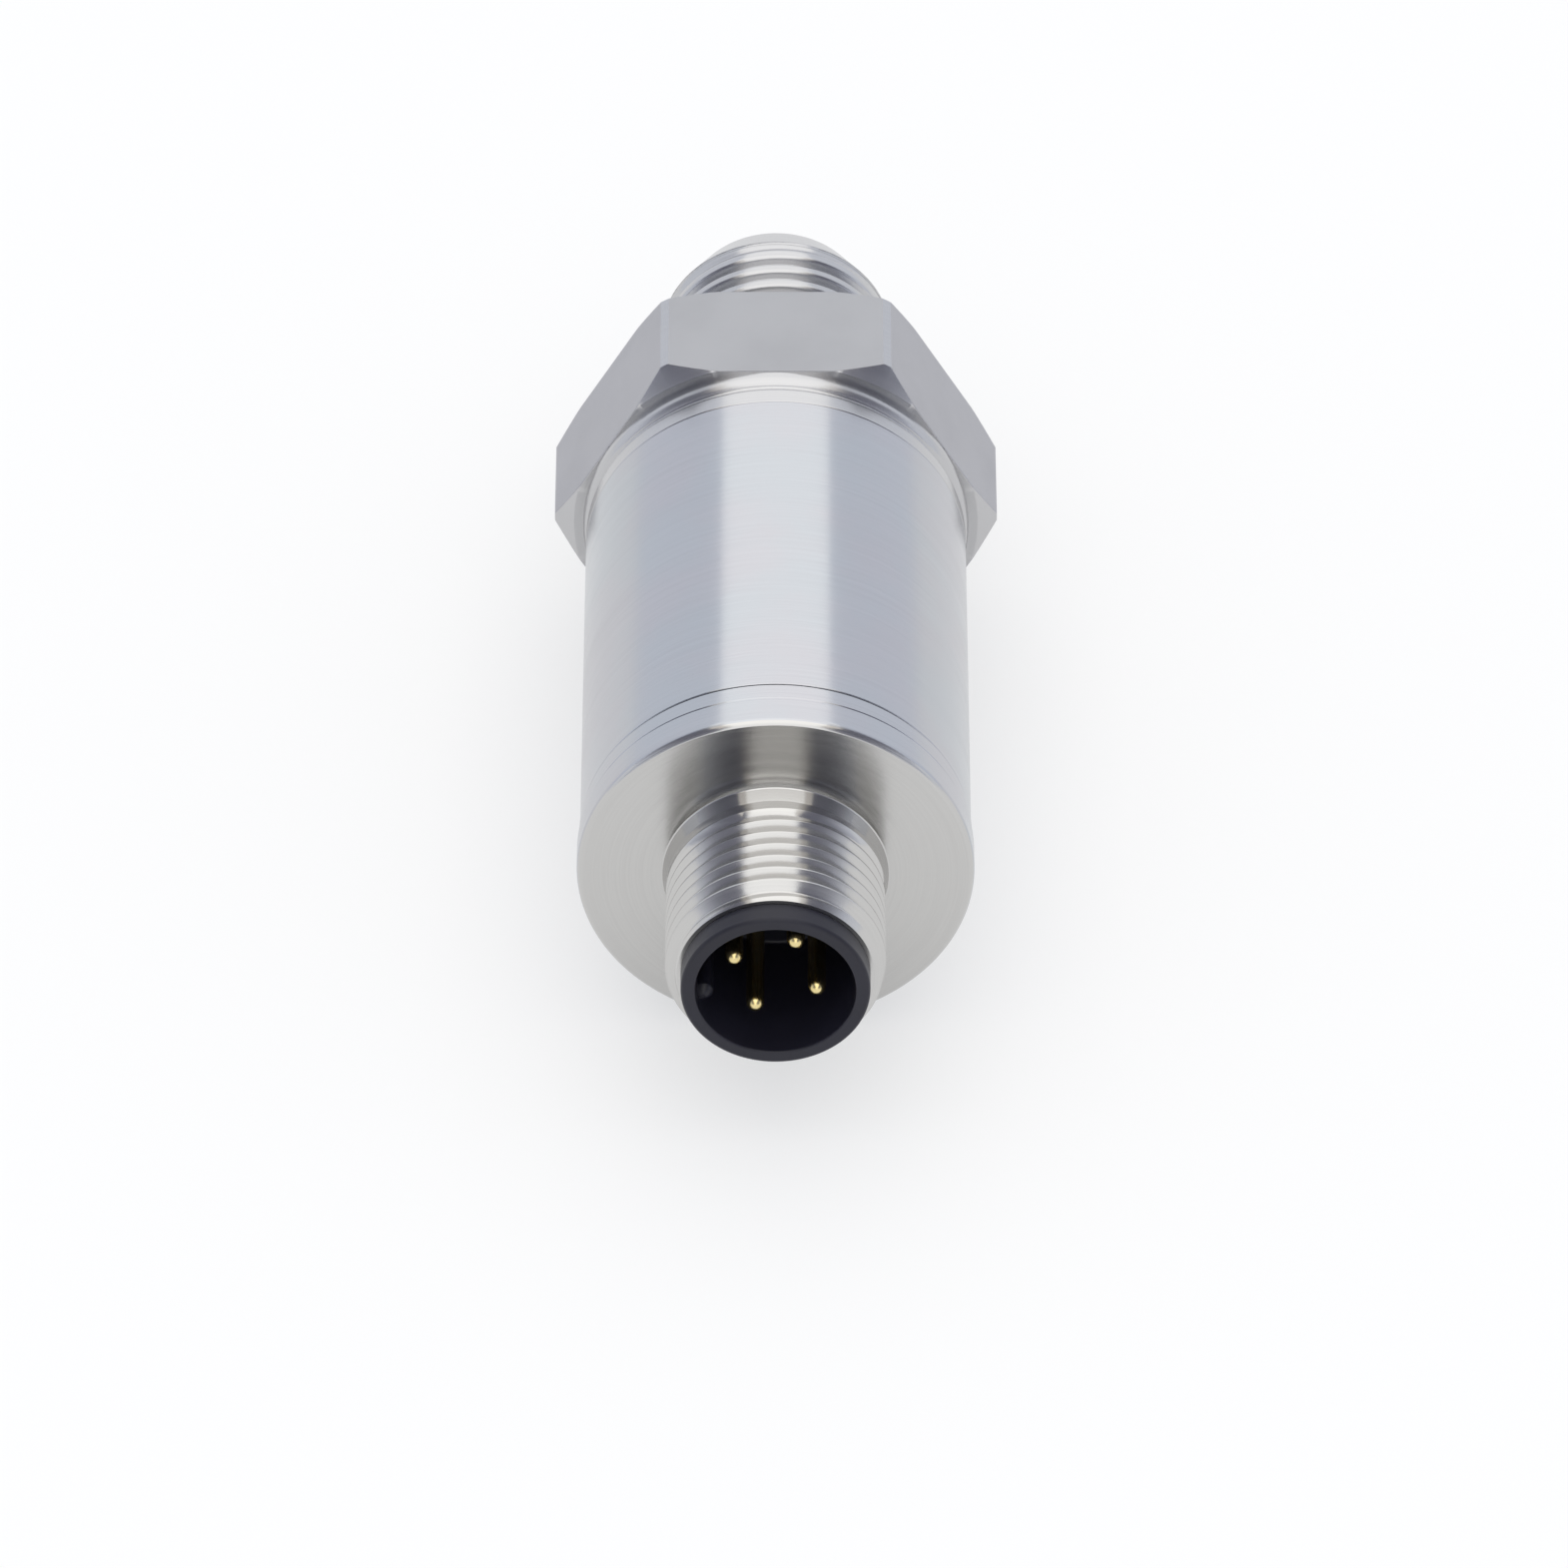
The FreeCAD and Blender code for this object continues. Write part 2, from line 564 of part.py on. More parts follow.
def end_cap():
    """Cap with the connector's threaded neck, a polished rim and a spigot inside the tube."""
    body = new_body("end_cap", CAP_FACE)
    band_front = "cap_rim_length"
    joint = f"({band_front} + cap_band_length)"
    thread_root = "-plug_collar_length"
    metal_end = f"({thread_root} - plug_thread_length)"
    turn(body, "blank", [
        (metal_end, CARRIER_BORE),
        (metal_end, f"{PLUG_CREST} - plug_thread_chamfer"),
        (f"{metal_end} + plug_thread_chamfer", PLUG_CREST),
        (thread_root, PLUG_CREST),
        (thread_root, f"{PLUG_CREST} + plug_collar_step"),
        ("0", f"{PLUG_CREST} + plug_collar_step"),
        ("0", CAP_RIM),
        (band_front, CAP_RIM),
        (band_front, CAP_BAND),
        (f"{joint} - joint_chamfer", CAP_BAND),
        (joint, f"{CAP_BAND} - joint_chamfer"),
        (joint, SPIGOT_OUTSIDE),
        (f"{joint} + cap_spigot_length - cup_chamfer", SPIGOT_OUTSIDE),
        (f"{joint} + cap_spigot_length", f"{SPIGOT_OUTSIDE} - cup_chamfer"),
        (f"{joint} + cap_spigot_length", SPIGOT_INSIDE),
        ("cap_wall", SPIGOT_INSIDE),
        ("cap_wall", CARRIER_BORE),
    ])
    round_edges(body, "rim_round", "cap_rim_round", [("0", CAP_RIM)])
    return body


# ---------------------------------------------------------------------------------------------
# Connector
# ---------------------------------------------------------------------------------------------

def contact_angle(index):
    """Formula for one contact's angle from +X towards +Z."""
    return f"(first_contact_angle + {index} * 360 / contact_count)"


def contact_places():
    """Formulas for the contacts' places round the axis."""
    return [around(contact_angle(index), "contact_circle / 2")
            for index in range(int(number("contact_count")))]


def contact_carrier():
    """Plastic carrier: a well round the contacts, a coding rib, and a groove for its seal."""
    body = new_body("contact_carrier", CARRIER_FACE)
    rear = f"({CARRIER_REAR} - {CARRIER_FACE})"
    turn(body, "blank", [
        ("0", f"{CONTACT_WELL} + well_mouth_chamfer"),
        ("0", CARRIER_RIM),
        ("carrier_rim_length", CARRIER_RIM),
        ("carrier_rim_length", CARRIER_BODY),
        (rear, CARRIER_BODY),
        (rear, "0"),
        ("contact_well_depth", "0"),
        ("contact_well_depth", CONTACT_WELL),
        ("well_mouth_chamfer", CONTACT_WELL),
    ])
    groove_middle = f"({rear} - carrier_seal_place)"
    groove_half = "(carrier_seal_width / 2 + slot_fit)"
    cut_ring(body, "seal_groove", ring(
        f"{groove_middle} - {groove_half}", f"{groove_middle} + {groove_half}",
        SEAL_GROOVE_BOTTOM, CARRIER_BORE))
    drill(body, "contact_holes", "contact_diameter + 2 * pin_fit", contact_places(),
          "contact_well_depth", f"{rear} - contact_well_depth")
    coding_rib(body)
    round_edges(body, "rim_round", "carrier_rim_round", [("0", CARRIER_RIM)])
    return body


def coding_rib(body):
    """Rib with a round nose down the wall of the well, which lets the socket in one way only."""
    sketch = cross_section(body, "rib", "key_setback")
    wall = f"({CONTACT_WELL} + carrier_wall / 2)"
    nose_centre = f"({CONTACT_WELL} - key_height + key_width / 2)"
    corners = []
    for out, side in ((nose_centre, 1), (wall, 1), (wall, -1), (nose_centre, -1)):
        corners.append((f"({out} * cos(key_angle) - {side} * key_width / 2 * sin(key_angle))",
                        f"({out} * sin(key_angle) + {side} * key_width / 2 * cos(key_angle))"))
    outline(sketch, corners)
    pad(body, "rib", sketch, "contact_well_depth - key_setback")
    nose = cross_section(body, "rib_nose", "key_setback")
    circle(nose, "key_width", *around("key_angle", nose_centre))
    pad(body, "rib_nose", nose, "contact_well_depth - key_setback")


def contact_pins():
    """Contact pins with round tips, from inside the well to behind the connector board."""
    tip = f"({CARRIER_FACE} + contact_setback)"
    length = f"({CONNECTOR_BOARD_REAR} + contact_tail - {tip})"
    return [round_tipped_pin(f"contact_pin_{index}", tip, "contact_diameter / 2", length, place)
            for index, place in enumerate(contact_places(), start=1)]


def round_tipped_pin(name, datum, radius, length, place):
    """A pin beside the axis whose tip, at the datum, is half a ball."""
    body = new_body(name, datum, *place)
    sketch = new_sketch(body, "section", "YZ_Plane")
    size = number(radius)
    origin = FreeCAD.Vector()
    tip_centre = FreeCAD.Vector(size, 0, 0)
    shoulder = FreeCAD.Vector(size, size, 0)
    far_edge = FreeCAD.Vector(number(length), size, 0)
    far_middle = FreeCAD.Vector(number(length), 0, 0)
    ball = Part.Circle(tip_centre, FreeCAD.Vector(0, 0, 1), size)
    arc = sketch.addGeometry(Part.ArcOfCircle(ball, math.pi / 2, math.pi), False)
    side = sketch.addGeometry(Part.LineSegment(shoulder, far_edge), False)
    end = sketch.addGeometry(Part.LineSegment(far_edge, far_middle), False)
    middle = sketch.addGeometry(Part.LineSegment(far_middle, origin), False)
    for constraint in (
            ("Coincident", arc, 2, -1, 1),
            ("Coincident", middle, 2, -1, 1),
            ("PointOnObject", arc, 3, -1),
            ("Tangent", arc, 1, side, 1),
            ("Horizontal", side),
            ("Coincident", side, 2, end, 1),
            ("Vertical", end),
            ("Coincident", end, 2, middle, 1),
            ("Horizontal", middle)):
        sketch.addConstraint(Sketcher.Constraint(*constraint))
    dimension(sketch, "DistanceX", end, 1, length)
    dimension(sketch, "DistanceY", end, 1, radius)
    revolve(body, "pin", sketch)
    return body


# ---------------------------------------------------------------------------------------------
# Electronics
# ---------------------------------------------------------------------------------------------

def connector_board():
    """Round board behind the carrier, soldered to the contacts and to the header's pins."""
    body = disc("connector_board", CARRIER_REAR, f"({SPIGOT_INSIDE} - connector_board_margin)",
                "board_thickness")
    drill(body, "contact_holes", "contact_diameter + 2 * pin_fit", contact_places(),
          "0", "board_thickness")
    drill(body, "header_holes", "header_pin_diameter + 2 * pin_fit", header_pin_places(),
          "0", "board_thickness")
    return body


def header_pin_places():
    """Formulas for the header's pins, which run just above the main board."""
    height = f"({BOARD_TOP} + header_pin_lift + header_pin_diameter / 2)"
    return [(in_a_row(index, "header_pin_count", "header_pin_pitch"), height)
            for index in range(int(number("header_pin_count")))]


def main_board():
    """Lengthwise board: its sides slide in the sleeve's slots, its tongue reaches forward."""
    body = new_body("main_board", MAIN_BOARD_SHOULDER)
    face = new_sketch(body, "face", "XY_Plane", "main_board_height")
    tongue_end = f"({CONNECTOR_BOARD_REAR} - {MAIN_BOARD_SHOULDER} + slot_fit)"
    rear = f"({MAIN_BOARD_REAR} - {MAIN_BOARD_SHOULDER})"
    outline(face, [
        (BOARD_HALF_WIDTH, rear),
        (f"-{BOARD_HALF_WIDTH}", rear),
        (f"-{BOARD_HALF_WIDTH}", "0"),
        ("-main_board_tongue / 2", "0"),
        ("-main_board_tongue / 2", tongue_end),
        ("main_board_tongue / 2", tongue_end),
        ("main_board_tongue / 2", "0"),
        (BOARD_HALF_WIDTH, "0"),
    ])
    feature = body.newObject("PartDesign::Pad", "main_board_thickness")
    feature.Profile = face
    feature.setExpression("Length", bound("board_thickness"))
    return body


def insulating_sleeve():
    """Plastic liner between cap and cup, with two slots that hold the main board."""
    length = f"({CUP_FRONT} - {CAP_SPIGOT_REAR})"
    body = new_body("insulating_sleeve", CAP_SPIGOT_REAR)
    turn(body, "wall", ring("0", length, SLEEVE_INSIDE, SLEEVE_OUTSIDE))
    sketch = cross_section(body, "slots", "0")
    half_width = f"({BOARD_HALF_WIDTH} + slot_fit)"
    outline(sketch, [
        (f"-{half_width}", "main_board_height - slot_fit"),
        (half_width, "main_board_height - slot_fit"),
        (half_width, f"{BOARD_TOP} + slot_fit"),
        (f"-{half_width}", f"{BOARD_TOP} + slot_fit"),
    ])
    pocket(body, "slots", sketch, length)
    return body


def board_header():
    """Plastic block that carries the pins from the connector board to the main board."""
    body = new_body("board_header", CONNECTOR_BOARD_REAR)
    sketch = cross_section(body, "face", "0")
    outline(sketch, [
        ("-header_width / 2", BOARD_TOP),
        ("header_width / 2", BOARD_TOP),
        ("header_width / 2", f"{BOARD_TOP} + header_height"),
        ("-header_width / 2", f"{BOARD_TOP} + header_height"),
    ])
    pad(body, "block", sketch, "header_length")
    drill(body, "pin_holes", "header_pin_diameter + 2 * pin_fit", header_pin_places(),
          "0", "header_length")
    return body


def header_pins():
    """Straight pins through the connector board and the header, on to the main board."""
    length = "(board_thickness + header_length + header_pin_overlap)"
    return [rod(f"header_pin_{index}", CARRIER_REAR, "header_pin_diameter", length, across, up)
            for index, (across, up) in enumerate(header_pin_places(), start=1)]


def board_block(name, length, width, height, along, across, underside):
    """A plain component body that stands on or hangs under the main board."""
    block = document.addObject("Part::Box", name)
    block.Label = name
    block.setExpression("Length", bound(width))
    block.setExpression("Width", bound(length))
    block.setExpression("Height", bound(height))
    block.setExpression("Placement.Base.x", bound(f"{across} - ({width}) / 2"))
    block.setExpression("Placement.Base.y", bound(f"{along} - ({length}) / 2"))
    block.setExpression("Placement.Base.z", bound(underside))
    return block


def board_components():
    """Two chips and a row of capacitors, all flat on the main board."""
    middle = f"(({MAIN_BOARD_REAR} + {MAIN_BOARD_SHOULDER}) / 2)"
    signal_chip = board_block("signal_chip", "chip_size", "chip_size", "chip_height",
                              middle, "0", "main_board_height - chip_height")
    output_chip = board_block("output_chip", "small_chip_size", "small_chip_size", "chip_height",
                              f"{middle} + small_chip_size / 2", "small_chip_size / 2", BOARD_TOP)
    row = f"({middle} - chip_size / 2 - capacitor_gap - capacitor_length / 2)"
    capacitors = [
        board_block(f"capacitor_{index + 1}", "capacitor_length", "capacitor_width",
                    "capacitor_width", row, in_a_row(index, "capacitor_count", "capacitor_pitch"),
                    "main_board_height - capacitor_width")
        for index in range(int(number("capacitor_count")))]
    return [signal_chip, output_chip, *capacitors]


# ---------------------------------------------------------------------------------------------
# Assembly
# ---------------------------------------------------------------------------------------------

def build():
    """Every piece of the transmitter, each an object of the document."""
    groove_middle = f"({CARRIER_REAR} - carrier_seal_place)"
    return [
        process_connection(),
        port_seal(),
        seal_ring("cell_seal_ring", CELL_SEAT, CELL_SEAL_INSIDE, CELL_SEAL_OUTSIDE,
                  "cell_seal_height"),
        disc("cell_diaphragm", CELL_BODY_REAR, CELL, "diaphragm_thickness"),
        disc("measuring_cell", CELL_FRONT, CELL, "cell_body_length"),
        clamp_ring(),
        *cell_leads(),
        housing_tube(),
        insulating_sleeve(),
        main_board(),
        *board_components(),
        connector_board(),
        board_header(),
        *header_pins(),
        end_cap(),
        seal_ring("carrier_seal_ring", f"{groove_middle} - carrier_seal_width / 2",
                  SEAL_GROOVE_BOTTOM, CARRIER_BORE, "carrier_seal_width"),
        contact_carrier(),
        *contact_pins(),
    ]


def check(pieces):
    """Stop on any object that failed and on any piece that isn't one sound solid."""
    for item in document.Objects:
        if {"Invalid", "Error"} & set(item.State):
            raise RuntimeError(f"{item.Name} failed: {item.State}")
    for piece in pieces:
        shape = piece.Shape
        if shape.isNull() or not shape.isValid() or len(shape.Solids) != 1:
            raise RuntimeError(f"{piece.Label} isn't one sound solid")


def export(pieces):
    """Write each piece to a file that has its name."""
    os.makedirs("parts", exist_ok=True)
    for piece in pieces:
        piece.Shape.exportStep(f"parts/{piece.Label}.step")


transmitter = build()
document.recompute()
check(transmitter)
export(transmitter)
box = Part.makeCompound([piece.Shape for piece in transmitter]).BoundBox
print(f"{len(transmitter)} pieces, X {box.XMin:.2f} {box.XMax:.2f}, "
      f"Y {box.YMin:.2f} {box.YMax:.2f}, Z {box.ZMin:.2f} {box.ZMax:.2f}")
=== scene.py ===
# %% [markdown]
# # A pressure transmitter, from its frame to its finish
#
# The object is a slim stainless-steel pressure transmitter. A round tube holds the measuring cell
# and its boards. One end of the tube carries a hexagon and a process thread, and the other end a
# cap with a threaded plug connector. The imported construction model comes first, as a fixed frame:
# it gives every place and size. The rest of the lesson adds what a construction model leaves out:
# helical threads, small rounds, machining marks and the finish of each material.

import json
import math

import bmesh
import bpy
import numpy as np
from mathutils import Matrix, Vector


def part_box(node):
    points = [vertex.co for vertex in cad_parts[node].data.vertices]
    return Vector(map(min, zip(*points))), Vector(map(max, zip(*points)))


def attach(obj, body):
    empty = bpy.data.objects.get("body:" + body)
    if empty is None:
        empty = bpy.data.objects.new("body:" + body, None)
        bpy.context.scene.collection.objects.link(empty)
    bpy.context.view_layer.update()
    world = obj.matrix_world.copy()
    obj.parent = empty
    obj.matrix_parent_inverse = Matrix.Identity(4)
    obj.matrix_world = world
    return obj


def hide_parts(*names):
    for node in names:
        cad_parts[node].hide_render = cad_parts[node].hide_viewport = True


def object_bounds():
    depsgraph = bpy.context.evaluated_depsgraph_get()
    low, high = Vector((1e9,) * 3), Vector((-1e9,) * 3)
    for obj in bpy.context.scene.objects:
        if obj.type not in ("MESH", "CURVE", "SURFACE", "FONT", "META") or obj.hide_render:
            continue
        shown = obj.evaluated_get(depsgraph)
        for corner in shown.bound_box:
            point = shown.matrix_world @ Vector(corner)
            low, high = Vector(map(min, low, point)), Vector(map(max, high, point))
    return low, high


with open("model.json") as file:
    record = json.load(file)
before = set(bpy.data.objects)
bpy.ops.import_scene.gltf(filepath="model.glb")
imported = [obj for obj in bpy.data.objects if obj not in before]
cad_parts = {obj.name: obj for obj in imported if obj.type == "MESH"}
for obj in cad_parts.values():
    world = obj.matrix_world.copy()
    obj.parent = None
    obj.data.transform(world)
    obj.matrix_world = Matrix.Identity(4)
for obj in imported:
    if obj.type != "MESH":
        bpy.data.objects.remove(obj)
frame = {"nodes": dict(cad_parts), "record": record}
cad_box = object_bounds()
nodes = frame["nodes"]

# %% [markdown]
# Workshop drawings of such a part are in millimetres, and Blender's unit here is the metre. The
# sizes below stay in millimetres, because 0.35 for a groove reads better than 0.00035, and one
# helper turns them into metres when a mesh is made. The main stations along the barrel are read
# from the frame, so a change in the construction model moves everything with it.

# %% Stations along the barrel
MM = 0.001


def span(node):
    """Both ends of a construction node along the barrel and its radius, in millimetres."""
    low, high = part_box(node)
    return low.y / MM, high.y / MM, (high.x - low.x) / 2 / MM


mounts = {mount["name"]: mount for mount in frame["record"]["mounts"]}
tube_front, tube_rear, tube_radius = span("housing_tube")
metal_end, cap_spigot_end, cap_radius = span("end_cap")
cup_front, nose_end, corner_radius = span("process_connection")
carrier_face, carrier_rear, carrier_rim_radius = span("contact_carrier")
seal_foot, seal_lip, seal_radius = span("port_seal_ring")
flat_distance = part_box("process_connection")[1].z / MM
process_crest = mounts["process_thread"]["dims"]["r_mm"]
plug_crest = mounts["connector_thread"]["dims"]["r_mm"]
port_radius = mounts["pressure_port"]["dims"]["r_mm"]
print("barrel from", round(carrier_face, 2), "to", round(nose_end, 2), "mm")
print("hexagon", round(2 * flat_distance, 2), "mm across its flats")

# %% [markdown]
# A turned part is drawn as half of its section: a closed outline of places along the axis and
# distances from it. Real edges are never perfectly sharp, since the turner breaks each of them, so
# a corner may carry a radius, which becomes a short arc. Each straight stretch also gets a row
# close to both of its ends. Those rows hold the smooth shading, so that a flat face stays flat
# right up to its rounded edge.

# %% Draw a section with rounded corners
HOLD = 0.02        # distance of a holding row from the end of a straight stretch
ARC_STEP = 15.0    # degrees that one facet of a rounded edge turns


def arc_at(before, corner, after, radius, count=None):
    """Points of the arc that rounds one corner of an outline."""
    here = Vector(corner)
    back = (Vector(before) - here).normalized()
    ahead = (Vector(after) - here).normalized()
    half_angle = back.angle(ahead) / 2
    reach = radius / math.tan(half_angle)
    centre = here + (back + ahead).normalized() * radius / math.sin(half_angle)
    first = here + back * reach - centre
    last = here + ahead * reach - centre
    turn = first.angle(last)
    count = count or max(2, round(math.degrees(turn) / ARC_STEP))
    points = []
    for index in range(count + 1):
        share = index / count
        mixed = first * math.sin((1 - share) * turn) + last * math.sin(share * turn)
        points.append(tuple(centre + mixed / math.sin(turn)))
    return points


def section(corners, closed=True):
    """Rows of an outline. A corner is (along, out) or (along, out, radius of its edge)."""
    rows = []
    count = len(corners)
    for index, corner in enumerate(corners):
        ends_open = not closed and index in (0, count - 1)
        if len(corner) == 3 and corner[2] > 0 and not ends_open:
            before = corners[index - 1][:2]
            after = corners[(index + 1) % count][:2]
            rows.extend(arc_at(before, corner[:2], after, corner[2]))
        else:
            rows.append(tuple(corner[:2]))
    held = []
    for index, row in enumerate(rows):
        held.append(row)
        if not closed and index == len(rows) - 1:
            break
        here, there = Vector(row), Vector(rows[(index + 1) % len(rows)])
        length = (there - here).length
        if length > 4 * HOLD:
            held.append(tuple(here.lerp(there, HOLD / length)))
            held.append(tuple(here.lerp(there, 1 - HOLD / length)))
    return held


square = section([(0, 0), (1, 0, 0.2), (1, 1), (0, 1)])
print(len(square), "rows in a square with one rounded corner")

# %% [markdown]
# Turning a section into a mesh is a grid: one row for each point of the outline and one column for
# each angle round the axis. Blender's Screw modifier could do it, but a thread and a hexagon need a
# radius that changes with the angle. So a row here may also be a function of the angle, and one
# loop serves the plain collars, the flats and the helical threads alike. The piece keeps the barrel
# axis as its own Z axis, because the grain of its metal is worked out round that axis.

# %% Turn a section into a mesh
COLUMNS = 240      # angles round a plain turned piece
WELD = 1e-7        # metres within which two points become one


def after_one_turn(rows, index):
    """Row that a row meets after one full turn: itself, or one pitch further on in a thread."""
    partner = min(index + getattr(rows[index], "rows_per_pitch", 0), len(rows) - 1)
    while partner > index and not hasattr(rows[partner], "rows_per_pitch"):
        partner -= 1
    return partner


def turned_piece(name, rows, angles=None, finish_of=None):
    """Mesh object with its rows turned round the barrel axis; finish_of numbers a face's finish."""
    if angles is None:
        angles = [360 * index / COLUMNS for index in range(COLUMNS)]
    mesh = bmesh.new()
    grid = []
    for row in rows:
        ring = []
        for angle in angles:
            along, out = row(angle) if callable(row) else row
            turn = math.radians(angle)
            place = (out * math.cos(turn) * MM, -out * math.sin(turn) * MM, along * MM)
            ring.append(mesh.verts.new(place))
        grid.append(ring)
    partners = [grid[after_one_turn(rows, index)] for index in range(len(rows))]
    for index, ring in enumerate(grid):
        following = (index + 1) % len(grid)
        for column in range(len(angles)):
            beside = (column + 1) % len(angles)
            near, far = ring, grid[following]
            if beside == 0:
                near, far = partners[index], partners[following]
            corners = (ring[column], near[beside], far[beside], grid[following][column])
            if len(set(corners)) > 2:
                face = mesh.faces.new(dict.fromkeys(corners))
                if finish_of:
                    face.material_index = finish_of(index, column)
    bmesh.ops.remove_doubles(mesh, verts=mesh.verts, dist=WELD)
    bmesh.ops.dissolve_degenerate(mesh, edges=mesh.edges, dist=WELD)
    bmesh.ops.recalc_face_normals(mesh, faces=mesh.faces)
    return mesh_object(name, mesh)


def mesh_object(name, mesh, sharp_above=28.0):
    """Scene object from a finished bmesh, smooth except across edges sharper than the limit."""
    data = bpy.data.meshes.new(name)
    mesh.to_mesh(data)
    mesh.free()
    data.shade_smooth()
    data.set_sharp_from_angle(angle=math.radians(sharp_above))
    piece = bpy.data.objects.new(name, data)
    piece.rotation_euler = (math.radians(-90), 0, 0)
    bpy.context.scene.collection.objects.link(piece)
    return piece


def install(piece, slot, *replaced):
    """Lets a piece ride on the body and hides the nodes it stands for. The slot is not used."""
    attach(piece, "root")
    if replaced:
        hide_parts(*replaced)
    print(piece.name, "has", len(piece.data.polygons), "faces")


# %% [markdown]
# A screw thread is one groove that winds round the part. Its form is drawn once, across one pitch:
# a narrow flat crest, two flanks and a rounded root. The rows follow the helix, so each edge of the
# thread is one clean line of the mesh, and a function gives the radius at any place. Where the
# thread runs out, its depth fades, as it does when the tool leaves the cut. A lead moves all the
# crests of a thread along the axis.

# %% Draw one pitch of a thread
def thread_form(pitch, flank_angle, crest_flat, depth, crest_round, root_round):
    """Rows across one pitch, from crest centre to crest centre: (along, depth below the crest)."""
    crest_half = crest_flat / 2
    root_place = crest_half + depth * math.tan(math.radians(flank_angle))
    return section([
        (0, 0),
        (crest_half, 0, crest_round),
        (root_place, depth, root_round),
        (pitch - root_place, depth, root_round),
        (pitch - crest_half, 0, crest_round),
        (pitch, 0),
    ], closed=False)


def thread_rows(start, end, pitch, form, envelope, fade, lead=0.0):
    """Rows of a right-hand thread from start down to end, with its crests moved by the lead."""
    places = [place for place, depth in form]
    depths = [depth for place, depth in form]

    def row_at(offset):
        def row(angle):
            along = start - lead - offset + pitch * (1 - angle / 360)
            along = min(start, max(end, along))
            phase = (start - lead - along + pitch * (1 - angle / 360)) % pitch
            drop = float(np.interp(phase, places, depths))
            return along, envelope(along, drop * fade(along))
        row.rows_per_pitch = len(places) - 1
        return row

    turns = math.ceil((start - end) / pitch) + 1
    offsets = [turn * pitch + place for turn in range(-1, turns) for place in places[:-1]]
    return [row_at(offset) for offset in offsets]


def ease(value, low, high):
    """Smooth step from 0 at low to 1 at high."""
    share = min(1.0, max(0.0, (value - low) / (high - low)))
    return share * share * (3 - 2 * share)


plug_pitch = 1.0
plug_form = thread_form(plug_pitch, flank_angle=30.0, crest_flat=0.125, depth=0.60,
                        crest_round=0.03, root_round=0.09)
process_pitch = 1.337
process_form = thread_form(process_pitch, flank_angle=27.5, crest_flat=0.55, depth=0.50,
                           crest_round=0.26, root_round=0.12)
print(len(plug_form), "rows across one pitch of the plug thread")

# %% [markdown]
# The process connection is one bar of stainless steel. It is turned to its thread, sealing collar
# and neck, and then milled to a hexagon. The turned corners of the hexagon are what is left of the
# bar. Where a flat meets the corner chamfer, it leaves the curved line that every nut shows. Each
# column of the mesh stops the flat at its own radius, and extra columns stand where a flat ends and
# where its chamfer begins. The top and bottom flats get a darker copy of the same milled steel as
# the four others: painted shade, which keeps the top flat from looking bright under the strip light.

# %% Model the process connection
hex_rear = -1.2
hex_front = hex_rear - 7.3
bead_front = hex_front - 0.9
groove_front = bead_front - 0.35
collar_radius = 9.45
face_radius = flat_distance + 0.45
relief_radius = process_crest - 0.9785
nose_start = nose_end - 2.8
nose_radius = process_crest - 1.4785
run_out_end = 1.4
run_out_reach = 3.0
thread_lead = 0.7
port_chamfer = 0.5
recess_radius = seal_radius + 0.05
recess_floor = -1.1
spigot_radius = tube_radius - 0.83
spigot_chamfer = 0.3
cup_radius = spigot_radius - 0.82
cell_seat = -7.5
seal_groove_floor = -6.3
seal_groove_outside = 8.15
seal_groove_inside = 6.25
cell_space_floor = -7.1
cell_space_radius = 5.0
chamfer_slope = math.tan(math.radians(30))
joint_break = 0.08
edge_break = 0.07
EDGE_FACETS = 5
bead_radius = flat_distance - 0.07
groove_radius = tube_radius - 0.24


def off_flat(angle):
    """Degrees from the middle of the nearest flat of the hexagon."""
    return abs((angle - 30) % 60 - 30)


def hex_radius(angle):
    """Radius of the milled hexagon at an angle, with its corners turned down."""
    return min(flat_distance / math.cos(math.radians(30 - off_flat(angle))), corner_radius)


def face_limit(angle):
    """Radius where the hexagon's end face stops: at the chamfer or at a flat's broken edge."""
    return min(face_radius, hex_radius(angle) - 2 * edge_break)


def hex_edge(face_along, sign):
    """Rows of the broken edge between the hexagon's side and its end face or corner chamfer."""
    def row_at(index):
        def row(angle):
            radius = hex_radius(angle)
            rise = max(0, radius - face_radius) * chamfer_slope
            edge = (face_along + sign * rise, radius)
            side = (edge[0] + sign, radius)
            end = (edge[0] - sign * rise / (radius - face_limit(angle)), radius - 1)
            return arc_at(side, edge, end, edge_break, EDGE_FACETS)[index]
        return row
    return [row_at(index) for index in range(EDGE_FACETS + 1)]


def hex_side(face_along, sign):
    """Row on the hexagon's side, close to its broken edge, that keeps the flat flat."""
    def row(angle):
        radius = hex_radius(angle)
        place = face_along + sign * (max(0, radius - face_radius) * chamfer_slope + 2 * edge_break)
        return place, radius
    return row


def hex_face(face_along):
    """Row where the hexagon's end face stops."""
    def row(angle):
        return face_along, face_limit(angle)
    return row


def process_envelope(along, drop):
    """Radius of the process thread, which slopes down into the run-out groove."""
    radius = process_crest - drop
    if along < run_out_reach:
        slope = relief_radius + (along - run_out_end)
        radius = max(relief_radius, min(radius, slope))
    return radius


def process_fade(along):
    """The thread starts on the nose and gets its full depth within most of a turn."""
    return 1 - ease(along, nose_start - 1.6, nose_start - 0.1)


